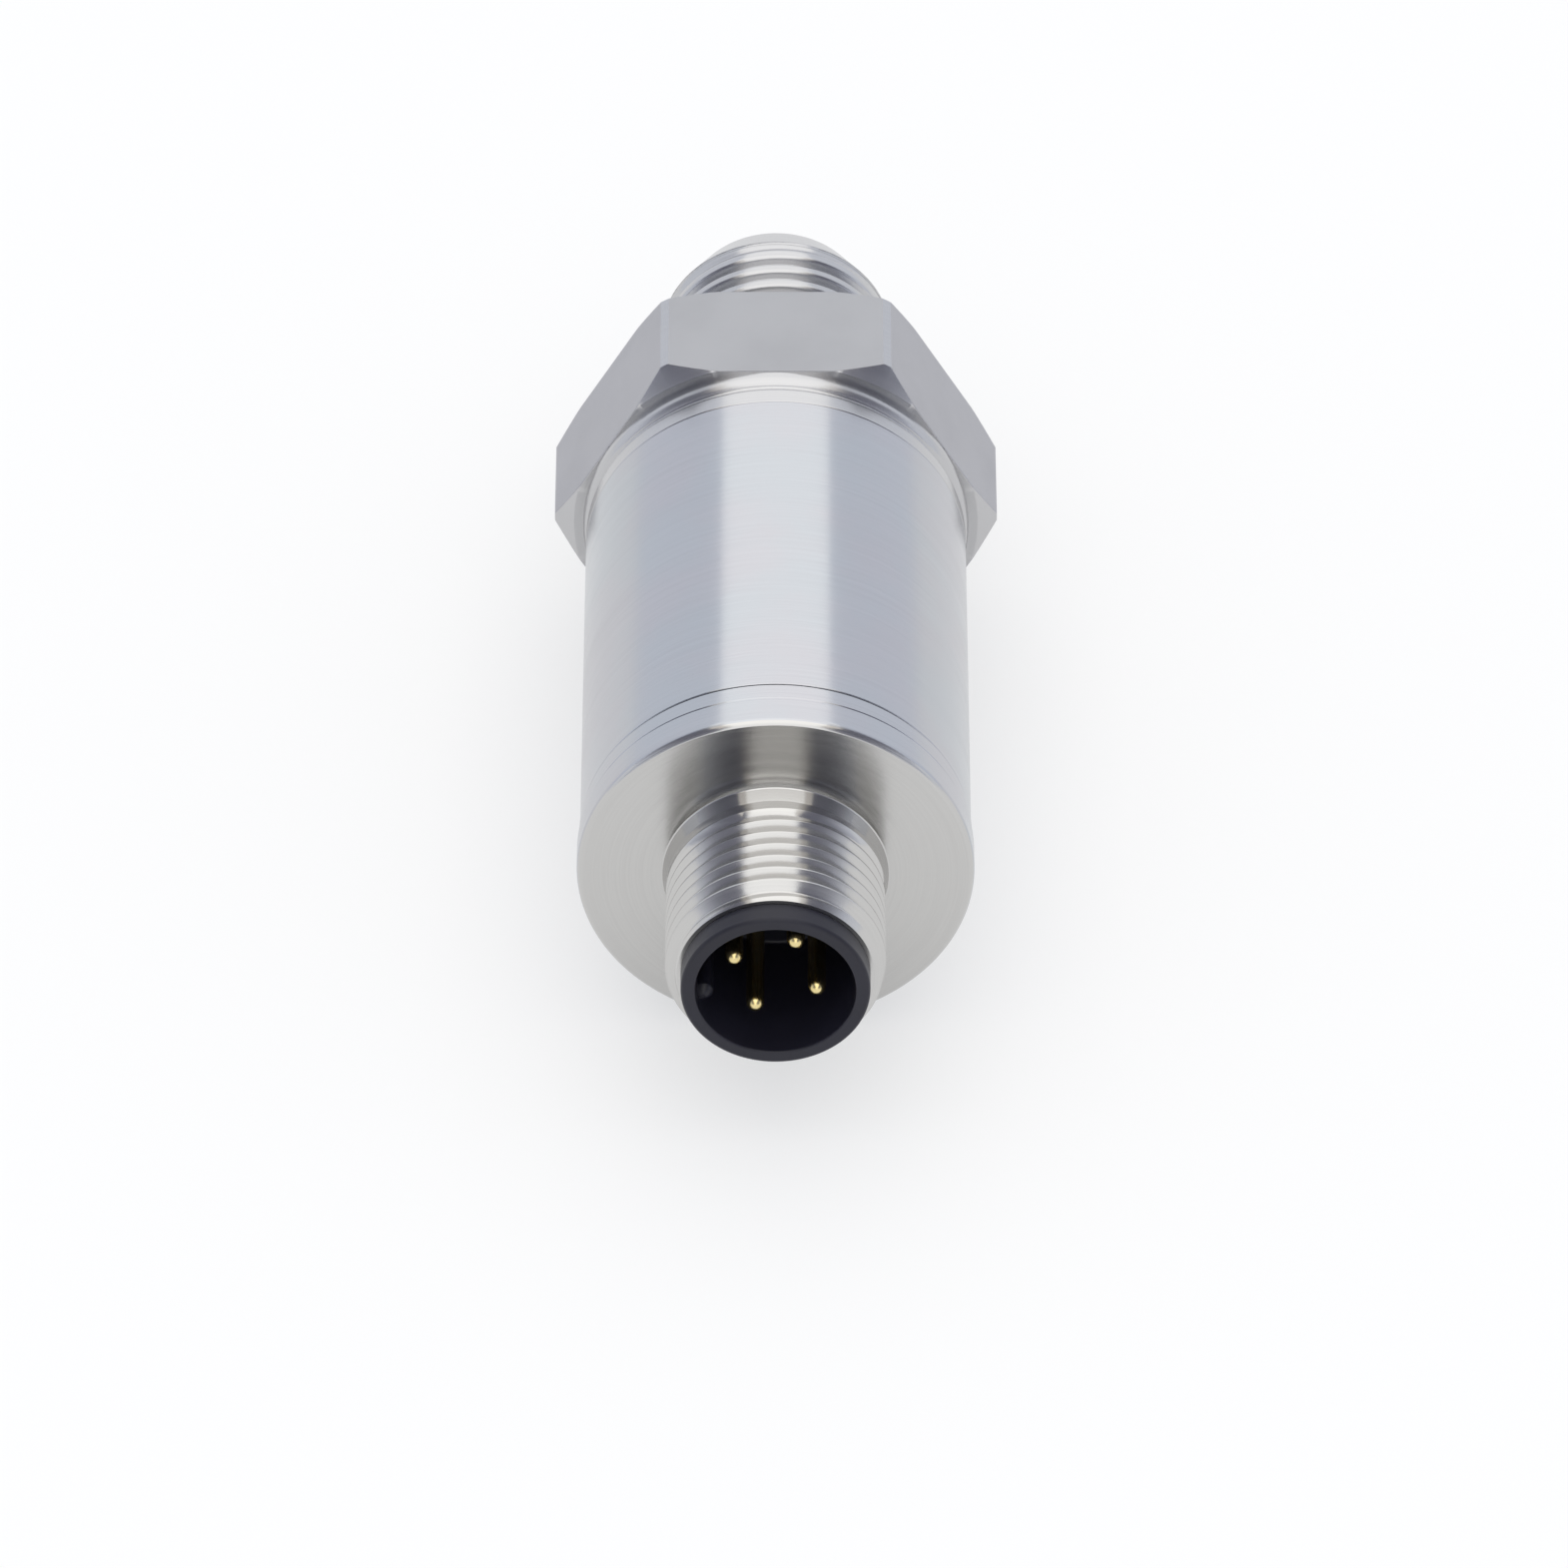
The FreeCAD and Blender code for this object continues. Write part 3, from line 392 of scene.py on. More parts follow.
special = [math.degrees(math.acos(flat_distance / radius)) for radius in (
    corner_radius, face_radius, face_radius + edge_break, face_radius + 2 * edge_break)]
hex_angles = {30 + 60 * index + side * angle
              for index in range(6) for side in (-1, 1) for angle in special}
hex_angles |= {360 / COLUMNS * index for index in range(COLUMNS)}
hex_angles = sorted(angle % 360 for angle in hex_angles)
hex_angles = [angle for angle, before in zip(hex_angles, [-1, *hex_angles])
              if angle - before > 0.05]

nose = section([
    (nose_end, port_radius + port_chamfer, 0.05),
    (nose_end, nose_radius, 0.2),
    (nose_start, process_crest, 0.9),
    (nose_start - 0.3, process_crest),
], closed=False)[:-1]
thread = thread_rows(nose_start, run_out_end, process_pitch, process_form,
                     process_envelope, process_fade, thread_lead)
collar = section([
    (run_out_end, relief_radius),
    (recess_floor, relief_radius),
    (recess_floor, recess_radius),
    (0, recess_radius, 0.05),
    (0, collar_radius, 0.2),
    (hex_rear, collar_radius, 0.1),
    (hex_rear, face_radius - 1),
], closed=False)
hexagon = [hex_face(hex_rear), *reversed(hex_edge(hex_rear, -1)), hex_side(hex_rear, -1),
           hex_side(hex_front, 1), *hex_edge(hex_front, 1), hex_face(hex_front)]
neck = section([
    (hex_front, bead_radius),
    (bead_front + 0.45, bead_radius, 0.8),
    (bead_front + 0.05, bead_radius - 0.21, 0.35),
    (bead_front - 0.02, groove_radius, 0.14),
    (groove_front + 0.02, groove_radius, 0.12),
    (groove_front - 0.10, tube_radius, 0.2),
    (tube_rear, tube_radius, joint_break),
    (tube_rear, spigot_radius),
    (cup_front + spigot_chamfer, spigot_radius),
    (cup_front, spigot_radius - spigot_chamfer),
    (cup_front, cup_radius),
    (cell_seat, cup_radius),
    (cell_seat, seal_groove_outside),
    (seal_groove_floor, seal_groove_outside),
    (seal_groove_floor, seal_groove_inside),
    (cell_seat, seal_groove_inside),
    (cell_seat, cell_space_radius),
    (cell_space_floor, cell_space_radius),
    (cell_space_floor, port_radius),
    (nose_end - port_chamfer, port_radius),
], closed=False)
process_rows = nose + thread + collar + hexagon + neck
first_side_row = len(nose) + len(thread) + len(collar) + 1


def on_a_flat(row, column):
    """Finish of a face: 2 on the top and bottom flats, a darker copy that is painted shade, 1 on the
    other flats, 0 elsewhere.
    """
    middle = hex_angles[column] + 0.1
    beside_edges = first_side_row <= row <= first_side_row + 2 * EDGE_FACETS + 2
    if not beside_edges or hex_radius(middle) > corner_radius - 0.001:
        return 0
    return 2 if abs(middle % 180 - 90) < 30 else 1


process_connection = turned_piece("process_connection_body", process_rows, hex_angles, on_a_flat)
install(process_connection, "turned_steel", "process_connection")

# %% [markdown]
# The tube is drawn and then ground on the outside. It is as plain as a part can be, so its edges
# matter: each butt joint shows as a hairline because both edges are broken by less than a tenth of
# a millimetre. The ends are separate faces of the same mesh, and the inside is finished too.

# %% Model the tube
tube_wall = 0.8
tube_inside = tube_radius - tube_wall
tube = turned_piece("tube_body", section([
    (tube_rear, tube_inside),
    (tube_rear, tube_radius, joint_break),
    (tube_front, tube_radius, joint_break),
    (tube_front, tube_inside),
]))
install(tube, "tube_steel", "housing_tube")

# %% [markdown]
# The cap closes the tube. It has a plain band beside the tube with a fine line turned in it, a rim
# with a round edge, a flat face, and the neck with the fine M12 thread of the plug connector. A
# short taper leads from the face to the thread. The neck's bore holds the plastic carrier. Like the
# process connection it is one turned piece with one helical groove.

# %% Model the end cap
cap_face = tube_front - 3.4
collar_front = cap_face - 1.15
bore_radius = plug_crest - 1.0
cap_bore_end = cap_face + 2.6
cap_bore_radius = spigot_radius - 1.0
joint_groove = 0.16
band_radius = tube_radius + 0.05
plug_end_chamfer = 0.62


def plug_envelope(along, drop):
    """Radius of the plug thread, with the chamfer at the metal's end."""
    return min(plug_crest - drop, plug_crest - plug_end_chamfer + (along - metal_end))


def plug_fade(along):
    """The thread runs out over its last turn before the collar."""
    return 1 - ease(along, collar_front - 0.9, collar_front - 0.1)


plug_thread = thread_rows(collar_front, metal_end, plug_pitch, plug_form,
                          plug_envelope, plug_fade)
cap_rows = section([
    (metal_end, bore_radius),
    (cap_bore_end, bore_radius),
    (cap_bore_end, cap_bore_radius),
    (cap_spigot_end, cap_bore_radius),
    (cap_spigot_end, spigot_radius - spigot_chamfer),
    (cap_spigot_end - spigot_chamfer, spigot_radius),
    (tube_front, spigot_radius),
    (tube_front, tube_radius - 0.2),
    (tube_front - joint_groove, tube_radius - 0.2),
    (tube_front - joint_groove, band_radius, 0.04),
    (cap_face + 2.19, band_radius, 0.01),
    (cap_face + 2.14, tube_radius + 0.01),
    (cap_face + 2.09, band_radius, 0.01),
    (cap_face + 1.9, band_radius),
    (cap_face + 1.9, cap_radius, 0.04),
    (cap_face + 0.12, cap_radius, 0.42),
    (cap_face, cap_radius - 0.30, 0.02),
    (cap_face, plug_crest + 0.20, 0.08),
    (cap_face - 0.80, plug_crest - 0.09, 0.2),
    (collar_front, plug_crest - 0.10),
], closed=False)


def on_the_barrel(row, column):
    """Finish of a face: 1 on the cap's band and rim, ground together with the tube, 0 elsewhere."""
    if row >= len(cap_rows):
        return 0
    along, out = cap_rows[row]
    return int(out > tube_radius - 0.1 and along > cap_face + 0.2)


end_cap = turned_piece("end_cap_body", cap_rows + plug_thread, finish_of=on_the_barrel)
install(end_cap, "cap_steel", "end_cap")

# %% [markdown]
# The carrier is an injection-moulded plug insert. Its rim covers the metal's end, its deep well
# holds four pins, and a small rib down the wall lets the socket in one way only. The rib is a
# boolean union in a modeller's hands, but a plain second solid that sinks into the wall is cleaner
# for shading, and both are one moulded colour. The rib starts behind the rim with a bevelled end,
# which leads the socket in.

# %% Model the contact carrier
well_radius = bore_radius - 0.65
well_floor = carrier_face + 9.1
carrier_radius = bore_radius - 0.03
ring_groove_front = carrier_rear - 2.85
ring_groove_rear = carrier_rear - 1.55
ring_groove_radius = bore_radius - 0.78
carrier = turned_piece("carrier_body", section([
    (carrier_face, well_radius, 0.12),
    (carrier_face, carrier_rim_radius, 0.2),
    (metal_end, carrier_rim_radius, 0.05),
    (metal_end, carrier_radius),
    (ring_groove_front, carrier_radius),
    (ring_groove_front, ring_groove_radius),
    (ring_groove_rear, ring_groove_radius),
    (ring_groove_rear, carrier_radius),
    (carrier_rear, carrier_radius),
    (carrier_rear, 0),
    (well_floor, 0),
    (well_floor, well_radius, 0.2),
]))
install(carrier, "carrier_plastic", "contact_carrier")


def rounded_bar(name, across, up, direction, width, reach, front, rear, edge):
    """Bar along the barrel, rounded towards the axis and bevelled at its front."""
    mesh = bmesh.new()
    outline = []
    facets = 12
    for index in range(facets + 1):
        turn = math.radians(-90 + 180 * index / facets)
        outline.append((math.cos(turn) * width / 2, math.sin(turn) * width / 2))
    outline += [(-reach, width / 2), (-reach, -width / 2)]
    inward = Vector((math.cos(direction), math.sin(direction))) * -1
    side = Vector((-inward.y, inward.x))
    rows = []
    stations = [(front, edge), (front + 0.3 * edge, 0.5 * edge), (front + edge, 0), (rear, 0)]
    for along, shrink in stations:
        scale = 1 - shrink / (width / 2)
        ring = []
        for out, beside in outline:
            raised = inward * out * (scale if out > 0 else 1)
            place = Vector((across, up)) + raised + side * beside * scale
            ring.append(mesh.verts.new((place.x * MM, -place.y * MM, along * MM)))
        rows.append(ring)
    for ring, following in zip(rows, rows[1:]):
        for index in range(len(ring)):
            beside = (index + 1) % len(ring)
            mesh.faces.new((ring[index], ring[beside], following[beside], following[index]))
    mesh.faces.new(rows[0])
    mesh.faces.new(list(reversed(rows[-1])))
    bmesh.ops.recalc_face_normals(mesh, faces=mesh.faces)
    return mesh_object(name, mesh)


rib_angle = math.radians(199.0)
rib_width = 1.1
rib_height = 0.75
rib_out = well_radius - rib_height + rib_width / 2
coding_rib = rounded_bar(
    "coding_rib", rib_out * math.cos(rib_angle), rib_out * math.sin(rib_angle), rib_angle,
    rib_width, reach=0.5, front=carrier_face + 1.2, rear=well_floor + 0.1, edge=0.42)
install(coding_rib, "carrier_plastic")

# %% [markdown]
# The four contacts are turned brass pins with gold plating and a half-ball tip. Each one takes
# its place and its length from its own construction node, so one loop makes them all.

# %% Model the contact pins
PIN_COLUMNS = 48
PIN_ANGLES = [360 / PIN_COLUMNS * index for index in range(PIN_COLUMNS)]
pins = []
for number in range(1, 5):
    node = f"contact_pin_{number}"
    low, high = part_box(node)
    centre = (low + high) / 2
    radius = (high.x - low.x) / 2 / MM
    tip, tail = low.y / MM, high.y / MM
    dome = [(tip + radius - radius * math.sin(math.radians(angle)),
             radius * math.cos(math.radians(angle))) for angle in range(90, -1, -9)]
    shaft = section([(tip + radius, radius), (tail, radius, 0.08), (tail, 0)], closed=False)
    pin = turned_piece(f"pin_{number}", dome + shaft, PIN_ANGLES)
    pin.location = (centre.x, 0, centre.z)
    install(pin, "contact_gold", node)
    pins.append(pin)

# %% [markdown]
# The profile seal is a black rubber ring in the recess of the sealing face. Only a rim of it shows
# when the transmitter lies down, but it is what makes the thread tight, so it gets its own mesh
# with a soft round lip.

# %% Model the port seal
seal = turned_piece("port_seal", section([
    (seal_foot, relief_radius + 0.05, 0.1),
    (seal_lip, relief_radius + 0.05, 0.12),
    (seal_lip, seal_radius - 0.25, 0.25),
    (seal_foot, seal_radius, 0.1),
]))
install(seal, "seal_rubber", "port_seal_ring")

# %% [markdown]
# Each finish below is a small network of nodes. Written with node objects alone such a network is
# hard to read, so one class wraps a socket and lets sums be written as sums: every operator adds
# one Math node. Any other node comes from one method that takes its type, its settings and what its
# sockets get.

# %% Write shaders as sums
class Finish:
    """A material under construction."""

    def __init__(self, name):
        self.material = bpy.data.materials.new(name)
        self.material.use_nodes = True
        self.tree = self.material.node_tree
        self.tree.nodes.clear()

    def node(self, kind, settings=None, sockets=None, out=None):
        """Adds one node and returns its output, the first one or the one named."""
        made = self.tree.nodes.new("ShaderNode" + kind)
        for name, value in (settings or {}).items():
            if name == "stops":
                ramp = made.color_ramp.elements
                while len(ramp) < len(value):
                    ramp.new(0.5)
                for stop, (place, colour) in zip(ramp, value):
                    stop.position = place
                    stop.color = (*colour, 1)
            else:
                setattr(made, name, value)
        for name, value in (sockets or {}).items():
            target = made.inputs[name] if isinstance(name, int) else self.find(made.inputs, name)
            if isinstance(value, Socket):
                self.tree.links.new(value.socket, target)
            else:
                target.default_value = (*value, 1) if target.type == "RGBA" else value
        if not made.outputs:
            return made
        shown = [socket for socket in made.outputs if socket.enabled]
        return Socket(self, self.find(made.outputs, out) if out else shown[0])

    @staticmethod
    def find(sockets, name):
        """The socket of that name which the node's settings leave in use."""
        return next(socket for socket in sockets if socket.name == name and socket.enabled)

    def mix(self, factor, first, second):
        """Colour between first and second."""
        return self.node("Mix", {"data_type": "RGBA"}, {"Factor": factor, "A": first, "B": second})

    def surface(self, shader):
        """Ends the network in the material's surface and returns the material."""
        self.node("OutputMaterial", sockets={"Surface": shader})
        return self.material


class Socket:
    """An output socket that can stand in a sum."""

    def __init__(self, finish, socket):
        self.finish = finish
        self.socket = socket

    def math(self, operation, *values):
        sockets = dict(enumerate(values))
        return self.finish.node("Math", {"operation": operation}, sockets)

    def __add__(self, other):
        return self.math("ADD", self, other)

    def __sub__(self, other):
        return self.math("SUBTRACT", self, other)

    def __mul__(self, other):
        return self.math("MULTIPLY", self, other)

    __radd__ = __add__

    def power(self, exponent):
        return self.math("POWER", self, exponent)

    def between(self, low, high, start=0.0, end=1.0):
        """Maps low to start and high to end, smoothly, and stays there outside."""
        return self.finish.node("MapRange", {"interpolation_type": "SMOOTHSTEP"}, {
            "Value": self, "From Min": low, "From Max": high, "To Min": start, "To Max": end})


print("operators ready")

# %% [markdown]
# Machined steel shows the path of the tool. On a turned part that path is a fine spiral, so its
# grain runs round the axis on the barrel and in circles on the end faces. A noise texture that is
# stretched along a place coordinate gives such lines. The coordinate is the distance along the axis
# plus the distance from it, which changes across the grooves on both kinds of surface. The grain
# also smears reflections across itself, which is what the anisotropic setting is for, and the
# direction that Blender assumes runs round the piece's own Z axis.

# %% Steel with turning marks
def coordinates(finish):
    """Place along the barrel, distance from it, and the piece's own coordinates, in metres."""
    place = finish.node("TexCoord", out="Object")
    split = finish.node("SeparateXYZ", sockets={"Vector": place}).socket.node.outputs
    x, y, z = (Socket(finish, split[name]) for name in "XYZ")
    out = (x * x + y * y).power(0.5)
    return place, x, y, z, out


def grain(finish, x, y, across, around_scale, across_scale, detail=3.0, shift=0.0):
    """Noise drawn out into lines: slow round the piece and quick across the lines."""
    lines = finish.node("CombineXYZ", sockets={
        "X": x * around_scale, "Y": y * around_scale, "Z": across * across_scale + shift})
    return finish.node("TexNoise", {"noise_dimensions": "3D"}, {
        "Vector": lines, "Scale": 1.0, "Detail": detail, "Roughness": 0.6}, out="Fac")


def turned_steel(name, colour, roughness, anisotropy, groove_depth, tint=0.0, blotch=0.1):
    """Turned or ground steel with fine rings, faint colour drift and uneven polish."""
    finish = Finish(name)
    place, x, y, z, out = coordinates(finish)
    across = z + out * 1.31
    fine = grain(finish, x, y, across, 90, 9000)
    broad = grain(finish, x, y, across, 60, 1600, 2.0, 7.0)
    cloud = finish.node("TexNoise", sockets={
        "Vector": place, "Scale": 130.0, "Detail": 4.0, "Roughness": 0.55}, out="Fac")
    cool = tuple(channel * (1 + tint * shift) for channel, shift in zip(colour, (-1.0, 0.2, 0.6)))
    warm = tuple(channel * (1 + tint * shift) for channel, shift in zip(colour, (0.8, -0.3, 0.1)))
    base = finish.mix(cloud.between(0.35, 0.65), cool, warm)
    lines = finish.mix(fine.between(0.3, 0.7, 0.0, 0.16), base, tuple(c * 0.78 for c in colour))
    rough = roughness + (cloud - 0.5) * blotch + (broad - 0.5) * blotch
    height = fine * 0.6 + broad * 0.4
    bump = finish.node("Bump", {}, {"Strength": 1.0, "Distance": groove_depth, "Height": height})
    return finish.surface(finish.node("BsdfPrincipled", {}, {
        "Base Color": lines, "Metallic": 1.0, "Roughness": rough, "Normal": bump,
        "Anisotropic": anisotropy, "Anisotropic Rotation": 0.25}))


def milled_steel(name, colour, roughness):
    """Milled flat with a fine even tooth and no clear direction in its gloss."""
    finish = Finish(name)
    place, x, y, z, _ = coordinates(finish)
    tooth = finish.node("TexNoise", sockets={
        "Vector": place, "Scale": 5200.0, "Detail": 3.0, "Roughness": 0.7}, out="Fac")
    feed = grain(finish, x, y, z, 160, 5200)
    cloud = finish.node("TexNoise", sockets={
        "Vector": place, "Scale": 160.0, "Detail": 4.0, "Roughness": 0.55}, out="Fac")
    shade = tuple(channel * 0.86 for channel in colour)
    base = finish.mix(cloud.between(0.35, 0.65, 0.0, 0.25), colour, shade)
    rough = roughness + (cloud - 0.5) * 0.1
    height = tooth * 0.5 + feed * 0.5
    bump = finish.node("Bump", {}, {"Strength": 1.0, "Distance": 0.0000035, "Height": height})
    return finish.surface(finish.node("BsdfPrincipled", {}, {
        "Base Color": base, "Metallic": 1.0, "Roughness": rough, "Normal": bump}))


connection_steel = turned_steel("turned_bar_steel", (0.53, 0.53, 0.54), 0.22, 0.6, 0.0000025)
side_steel = milled_steel("milled_side_steel", (0.465, 0.465, 0.49), 0.5)
# Darker copy of the milled steel for the flats that face up and down, which is painted shade.
top_flat_painted_shade_steel = milled_steel("milled_flat_steel", (0.39, 0.395, 0.415), 0.5)
ground_steel = turned_steel("ground_tube_steel", (0.49, 0.50, 0.525), 0.20, 0.75, 0.0000012, 0.02)
cap_metal = turned_steel("cap_steel", (0.565, 0.56, 0.55), 0.15, 0.7, 0.000001)
process_connection.data.materials.append(connection_steel)
process_connection.data.materials.append(side_steel)
process_connection.data.materials.append(top_flat_painted_shade_steel)
tube.data.materials.append(ground_steel)
end_cap.data.materials.append(cap_metal)
end_cap.data.materials.append(ground_steel)
print(len(bpy.data.materials), "materials so far")

# %% [markdown]
# The dark pieces need just as much care as the bright ones. Moulded plastic takes over the fine
# sparked texture of its mould and has a satin gloss. Rubber is duller, with a coarser tooth. Gold
# plating is smooth, and its colour drifts a little from pale to deep.

# %% Plastic, rubber and gold
def moulded(name, colour, roughness, tooth_scale=2600.0, tooth=0.000004, lighter=1.25, gloss=0.5):
    """Moulded plastic or resin with a fine even tooth and a slight variation in colour."""
    finish = Finish(name)
    place = finish.node("TexCoord", out="Object")
    tooth_noise = finish.node("TexNoise", sockets={
        "Vector": place, "Scale": tooth_scale, "Detail": 4.0, "Roughness": 0.6}, out="Fac")
    cloud = finish.node("TexNoise", sockets={
        "Vector": place, "Scale": 240.0, "Detail": 3.0, "Roughness": 0.5}, out="Fac")
    light = tuple(min(1.0, channel * lighter) for channel in colour)
    base = finish.mix(cloud.between(0.35, 0.7), colour, light)
    rough = roughness + (cloud - 0.5) * 0.12
    bump = finish.node("Bump", {}, {"Strength": 0.6, "Distance": tooth, "Height": tooth_noise})
    return finish.surface(finish.node("BsdfPrincipled", {}, {
        "Base Color": base, "Roughness": rough, "Normal": bump, "Specular IOR Level": gloss}))


def plated(name, colour, dark, roughness):
    """Plated or tinned metal with a soft unevenness."""
    finish = Finish(name)
    place = finish.node("TexCoord", out="Object")
    cloud = finish.node("TexNoise", sockets={
        "Vector": place, "Scale": 1500.0, "Detail": 3.0, "Roughness": 0.5}, out="Fac")
    base = finish.mix(cloud.between(0.3, 0.7), colour, dark)
    bump = finish.node("Bump", {}, {"Strength": 0.5, "Distance": 0.000002, "Height": cloud})
    return finish.surface(finish.node("BsdfPrincipled", {}, {
        "Base Color": base, "Metallic": 1.0, "Roughness": roughness + (cloud - 0.5) * 0.1,
        "Normal": bump}))


carrier_plastic = moulded("carrier_plastic", (0.010, 0.010, 0.018), 0.42, gloss=0.38)
seal_rubber = moulded("seal_rubber", (0.02, 0.02, 0.02), 0.62, 1800.0, 0.000008)
contact_gold = plated("contact_gold", (0.86, 0.74, 0.40), (0.76, 0.60, 0.26), 0.24)
for piece in (carrier, coding_rib):
    piece.data.materials.append(carrier_plastic)
seal.data.materials.append(seal_rubber)
for pin in pins:
    pin.data.materials.append(contact_gold)
print("outer pieces finished")

# %% [markdown]
# Inside the closed housing sit the measuring cell, its clamp ring and the boards. Their shapes come
# straight from the construction model and stay as they are. They still get proper finishes, because
# the part may be opened or cut away one day: unglazed alumina, green solder mask with its copper
# tracks showing through, dark resin on the chips and tinned leads.

# %% Finishes for the pieces inside
def board_finish(name):
    """Green solder mask that shows a hint of the copper tracks below it."""
    finish = Finish(name)
    place = finish.node("TexCoord", out="Object")
    tracks = finish.node("TexBrick", {"offset": 0.5}, {
        "Vector": place, "Scale": 900.0, "Mortar Size": 0.035, "Color1": (1, 1, 1),
        "Color2": (1, 1, 1), "Mortar": (0, 0, 0)}, out="Fac")
    cloud = finish.node("TexNoise", sockets={"Vector": place, "Scale": 700.0}, out="Fac")
    mask = finish.mix(cloud.between(0.35, 0.65), (0.03, 0.19, 0.07), (0.04, 0.23, 0.09))
    base = finish.mix(tracks, mask, (0.08, 0.33, 0.14))
    bump = finish.node("Bump", {}, {"Strength": 0.4, "Distance": 0.00002, "Height": tracks})
    return finish.surface(finish.node("BsdfPrincipled", {}, {
        "Base Color": base, "Roughness": 0.3 + cloud * 0.1, "Normal": bump}))


inner_finishes = {
    "turned_steel": turned_steel("clamp_ring_steel", (0.50, 0.50, 0.505), 0.28, 0.5, 0.000002),
    "seal_rubber": seal_rubber,
    "cell_ceramic": moulded("cell_ceramic", (0.80, 0.78, 0.74), 0.55, 3000.0, 0.000003, 1.08),
    "tinned_lead": plated("tinned_lead", (0.66, 0.66, 0.64), (0.52, 0.52, 0.50), 0.32),
    "board_laminate": board_finish("board_laminate"),
    "chip_plastic": moulded("chip_resin", (0.02, 0.02, 0.022), 0.5),
    "capacitor_ceramic": moulded("capacitor_ceramic", (0.42, 0.30, 0.19), 0.5, 3200.0, 0.000003),
    "sleeve_plastic": moulded("sleeve_plastic", (0.72, 0.72, 0.68), 0.4, 1500.0, 0.000004, 1.08),
}
slots = {part["node"]: part["material_slot"] for part in frame["record"]["subparts"]}
for name, node in nodes.items():
    if node.hide_render:
        continue
    node.data.materials.clear()
    node.data.materials.append(inner_finishes[slots[name]])
    print(name, "gets", node.data.materials[0].name)

# %% [markdown]
# The part lies on a plain pale table. A camera ray, and a ray that comes off polished steel, should
# both find that table nearly white, while the light that lands on it still has to show the soft
# shadow under the barrel. So the table mixes a plain white surface with a little of its own light
# for those rays only.

# %% Lay the floor
def seen_directly(finish):
    """1 for rays from the camera and for mirrored and refracted ones, and 0 for all others."""
    path = finish.node("LightPath").socket.node.outputs
    camera, glossy, clear = (Socket(finish, path[name]) for name in (
        "Is Camera Ray", "Is Glossy Ray", "Is Transmission Ray"))
    return camera.math("MAXIMUM", camera.math("MAXIMUM", camera, glossy), clear)


floor_level = cad_box[0].z
floor_half = 3.0
own_light = 0.55
floor_data = bpy.data.meshes.new("floor")
floor_data.from_pydata([(x * floor_half, y * floor_half, floor_level)
                        for x, y in ((-1, -1), (1, -1), (1, 1), (-1, 1))], [], [(0, 1, 2, 3)])
floor = bpy.data.objects.new("floor", floor_data)
bpy.context.scene.collection.objects.link(floor)
paint = Finish("floor_paint")
matt = paint.node("BsdfDiffuse", sockets={"Color": (0.85, 0.85, 0.85)})
glow = paint.node("Emission", sockets={"Color": (0.955, 0.955, 0.955), "Strength": 1.0})
floor_data.materials.append(paint.surface(paint.node("MixShader", sockets={
    0: seen_directly(paint) * own_light, 1: matt, 2: glow})))
print("floor at", round(floor_level / MM, 2), "mm")

# %% [markdown]
# Polished steel shows its surroundings more than itself, so the surroundings are the real paint.
# One long strip light hangs over the part, from far behind it to well in front, and goes on down
# to the floor behind the camera. Its straight sides draw the crisp edges of the bright stripe on
# the barrel and its lower part lights the faces that look forward. It is made of three runs, and
# the middle one, over the part and in front of it, is the strongest. The world is a plain pale room
# with a little of the sky in it. Two dark cards stand left and right in front and bend back over the
# part. Only mirrored rays see them: they give the thread flanks and chamfers something dark to
# show, as a product photographer would. Their cloth is darkest beside the strip and gets paler
# outwards and towards the table, so that the dark patches fade out softly.

# %% Light the part
strip_half_width = 0.50
strip_height = 0.80
strip_front = -1.90
strip_rear = 2.30
strip_split = 0.20
strip_colour = (1.0, 0.94, 0.81)


def strip_light(name, place, tilt, length, radiance):
    """One straight run of the strip light, facing down, or forward when it is tilted up."""
    data = bpy.data.lights.new(name, "AREA")
    data.shape = "RECTANGLE"
    data.size = 2 * strip_half_width
    data.size_y = length
    data.color = strip_colour
    data.energy = radiance * 4 * data.size * data.size_y
    lamp = bpy.data.objects.new(name, data)
    lamp.location = place
    lamp.rotation_euler = (tilt, 0, 0)
    bpy.context.scene.collection.objects.link(lamp)
    print(name, "gives", round(data.energy, 2), "W")


strip_light("rear_strip", (0, (strip_split + strip_rear) / 2, strip_height), 0,
            strip_rear - strip_split, 0.43)
strip_light("overhead_strip", (0, (strip_front + strip_split) / 2, strip_height), 0,
            strip_split - strip_front, 0.56)
strip_light("front_strip", (0, strip_front, strip_height / 2), math.radians(90), strip_height, 0.40)

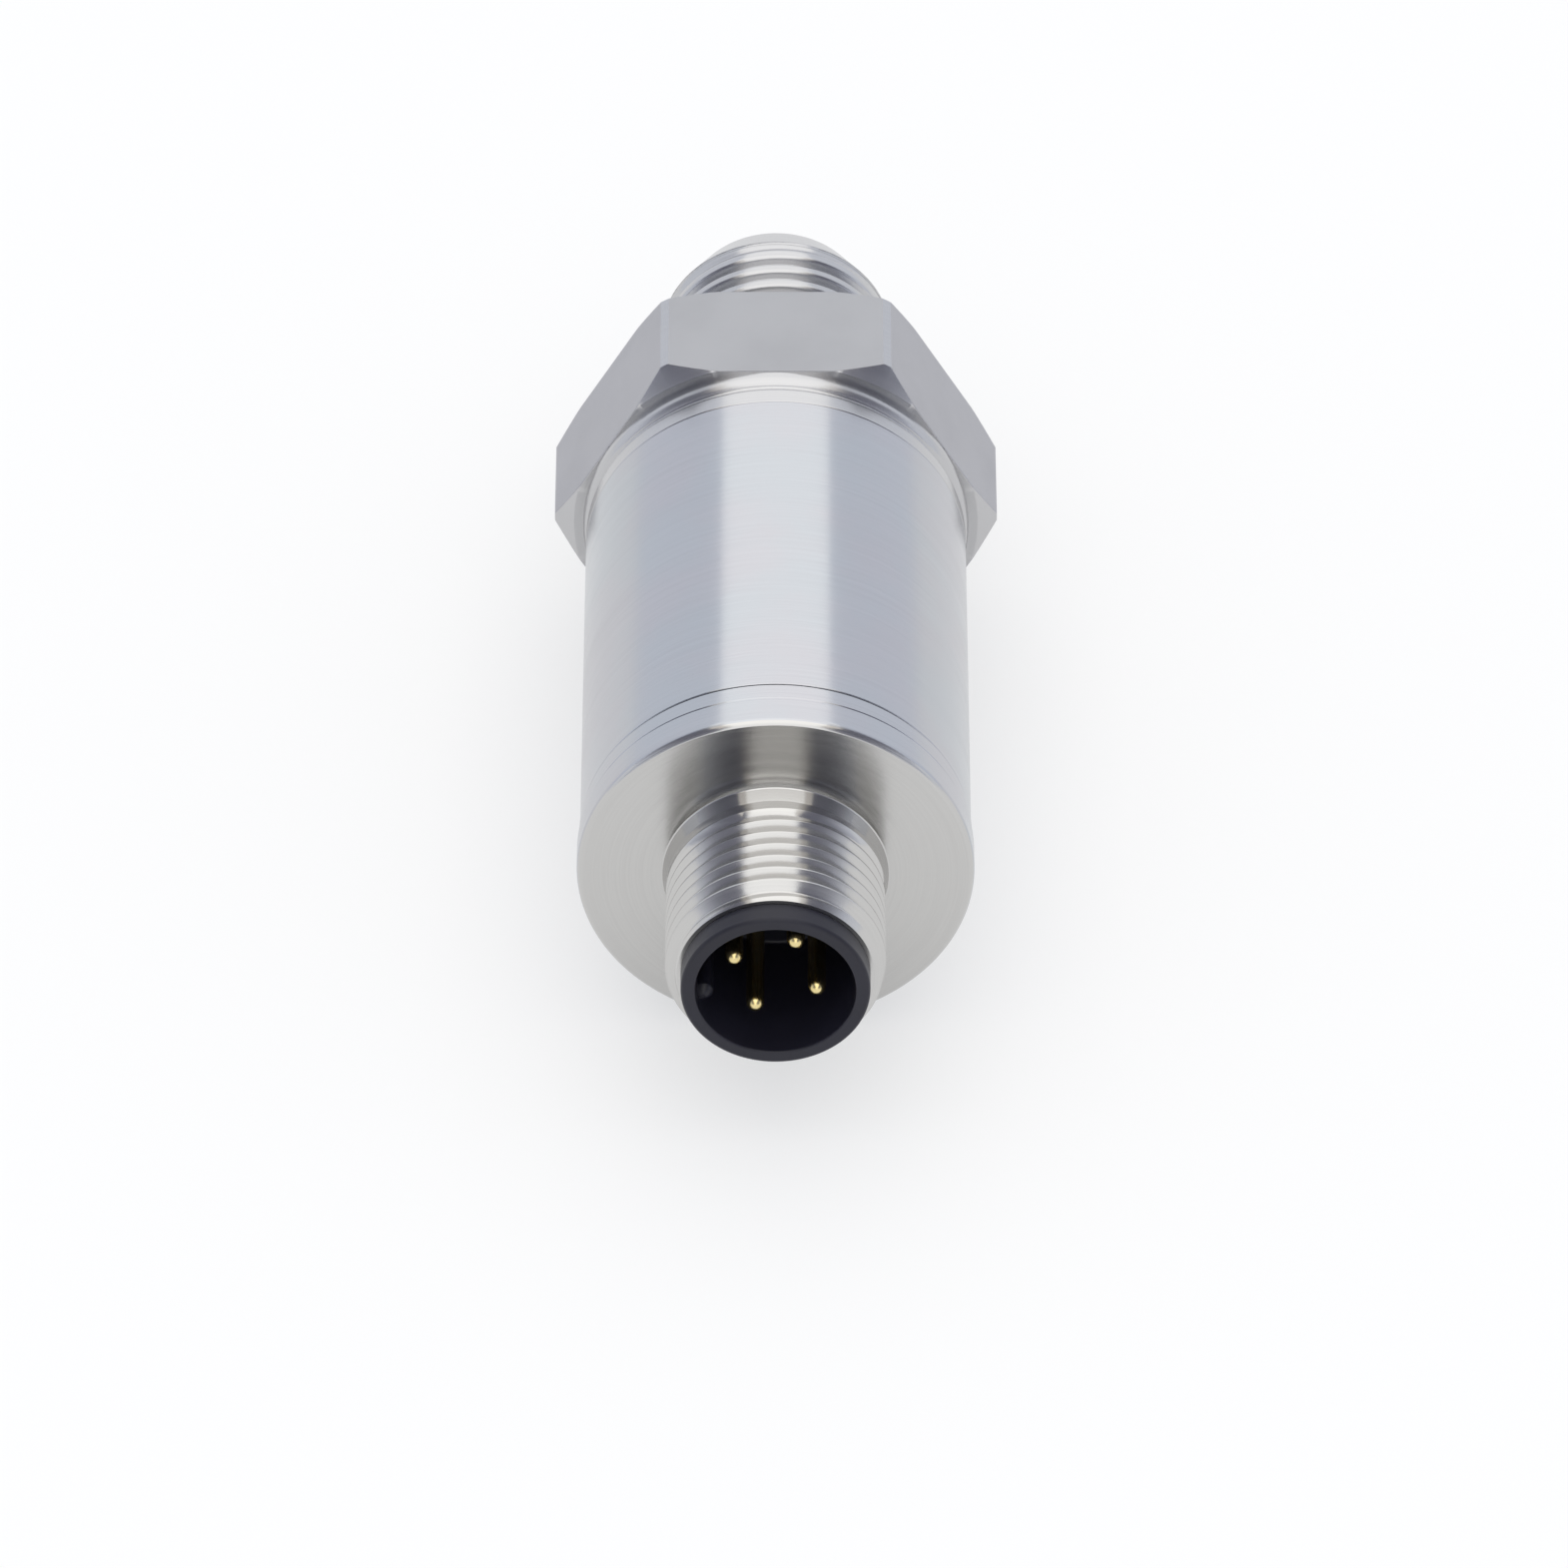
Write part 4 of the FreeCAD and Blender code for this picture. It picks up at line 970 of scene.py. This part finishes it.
card_data = bpy.data.meshes.new("dark_cards")
card_height = 1.10
card_rear = 0.25
card_inside = strip_half_width + 0.02
card_outside = 3.5
card_profile = ((strip_front, floor_level), (strip_front, card_height), (card_rear, card_height))
card_corners = [(side * across, along, up) for side in (-1, 1)
                for across in (card_inside, card_outside) for along, up in card_profile]
card_data.from_pydata(card_corners, [], [(0, 1, 4, 3), (1, 2, 5, 4), (6, 7, 10, 9), (7, 8, 11, 10)])
cards = bpy.data.objects.new("dark_cards", card_data)
bpy.context.scene.collection.objects.link(cards)
cards.visible_camera = False
cards.visible_diffuse = False
cards.visible_transmission = False
cards.visible_shadow = False
shaded_cloth = Finish("shaded_cloth")
card_split = shaded_cloth.node("SeparateXYZ", sockets={
    "Vector": shaded_cloth.node("TexCoord", out="Object")}).socket.node.outputs
card_x, card_z = Socket(shaded_cloth, card_split["X"]), Socket(shaded_cloth, card_split["Z"])
outwards = card_x.math("ABSOLUTE", card_x).between(0.9, 3.2)
downwards = card_z.between(0.0, 0.42, 1.0, 0.0)
shade = shaded_cloth.mix(outwards.math("MAXIMUM", outwards, downwards),
                         (0.22, 0.22, 0.26), (0.82, 0.83, 0.88))
card_data.materials.append(shaded_cloth.surface(shaded_cloth.node(
    "BsdfDiffuse", sockets={"Color": shade})))

world = bpy.data.worlds.new("pale_room")
world.use_nodes = True
world.node_tree.nodes["Background"].inputs["Color"].default_value = (0.88, 0.91, 0.98, 1)
world.node_tree.nodes["Background"].inputs["Strength"].default_value = 1.0
bpy.context.scene.world = world

# %% [markdown]
# The camera looks down at 40 degrees with a long lens, so the barrel narrows only a little towards
# its far end.

# %% Place the camera
elevation = math.radians(40)
distance = 0.6514
aim = Vector((0.00046, -0.0315, 0))
camera_data = bpy.data.cameras.new("camera")
camera_data.lens = 270.6
camera_data.sensor_width = 36.0
camera_data.clip_start = 0.01
camera = bpy.data.objects.new("camera", camera_data)
camera.location = aim + Vector((0, -math.cos(elevation), math.sin(elevation))) * distance
camera.rotation_euler = (math.pi / 2 - elevation, 0, 0)
bpy.context.scene.collection.objects.link(camera)
bpy.context.scene.camera = camera
bpy.context.scene.view_settings.view_transform = "Standard"
print("camera at", [round(value, 4) for value in camera.location])
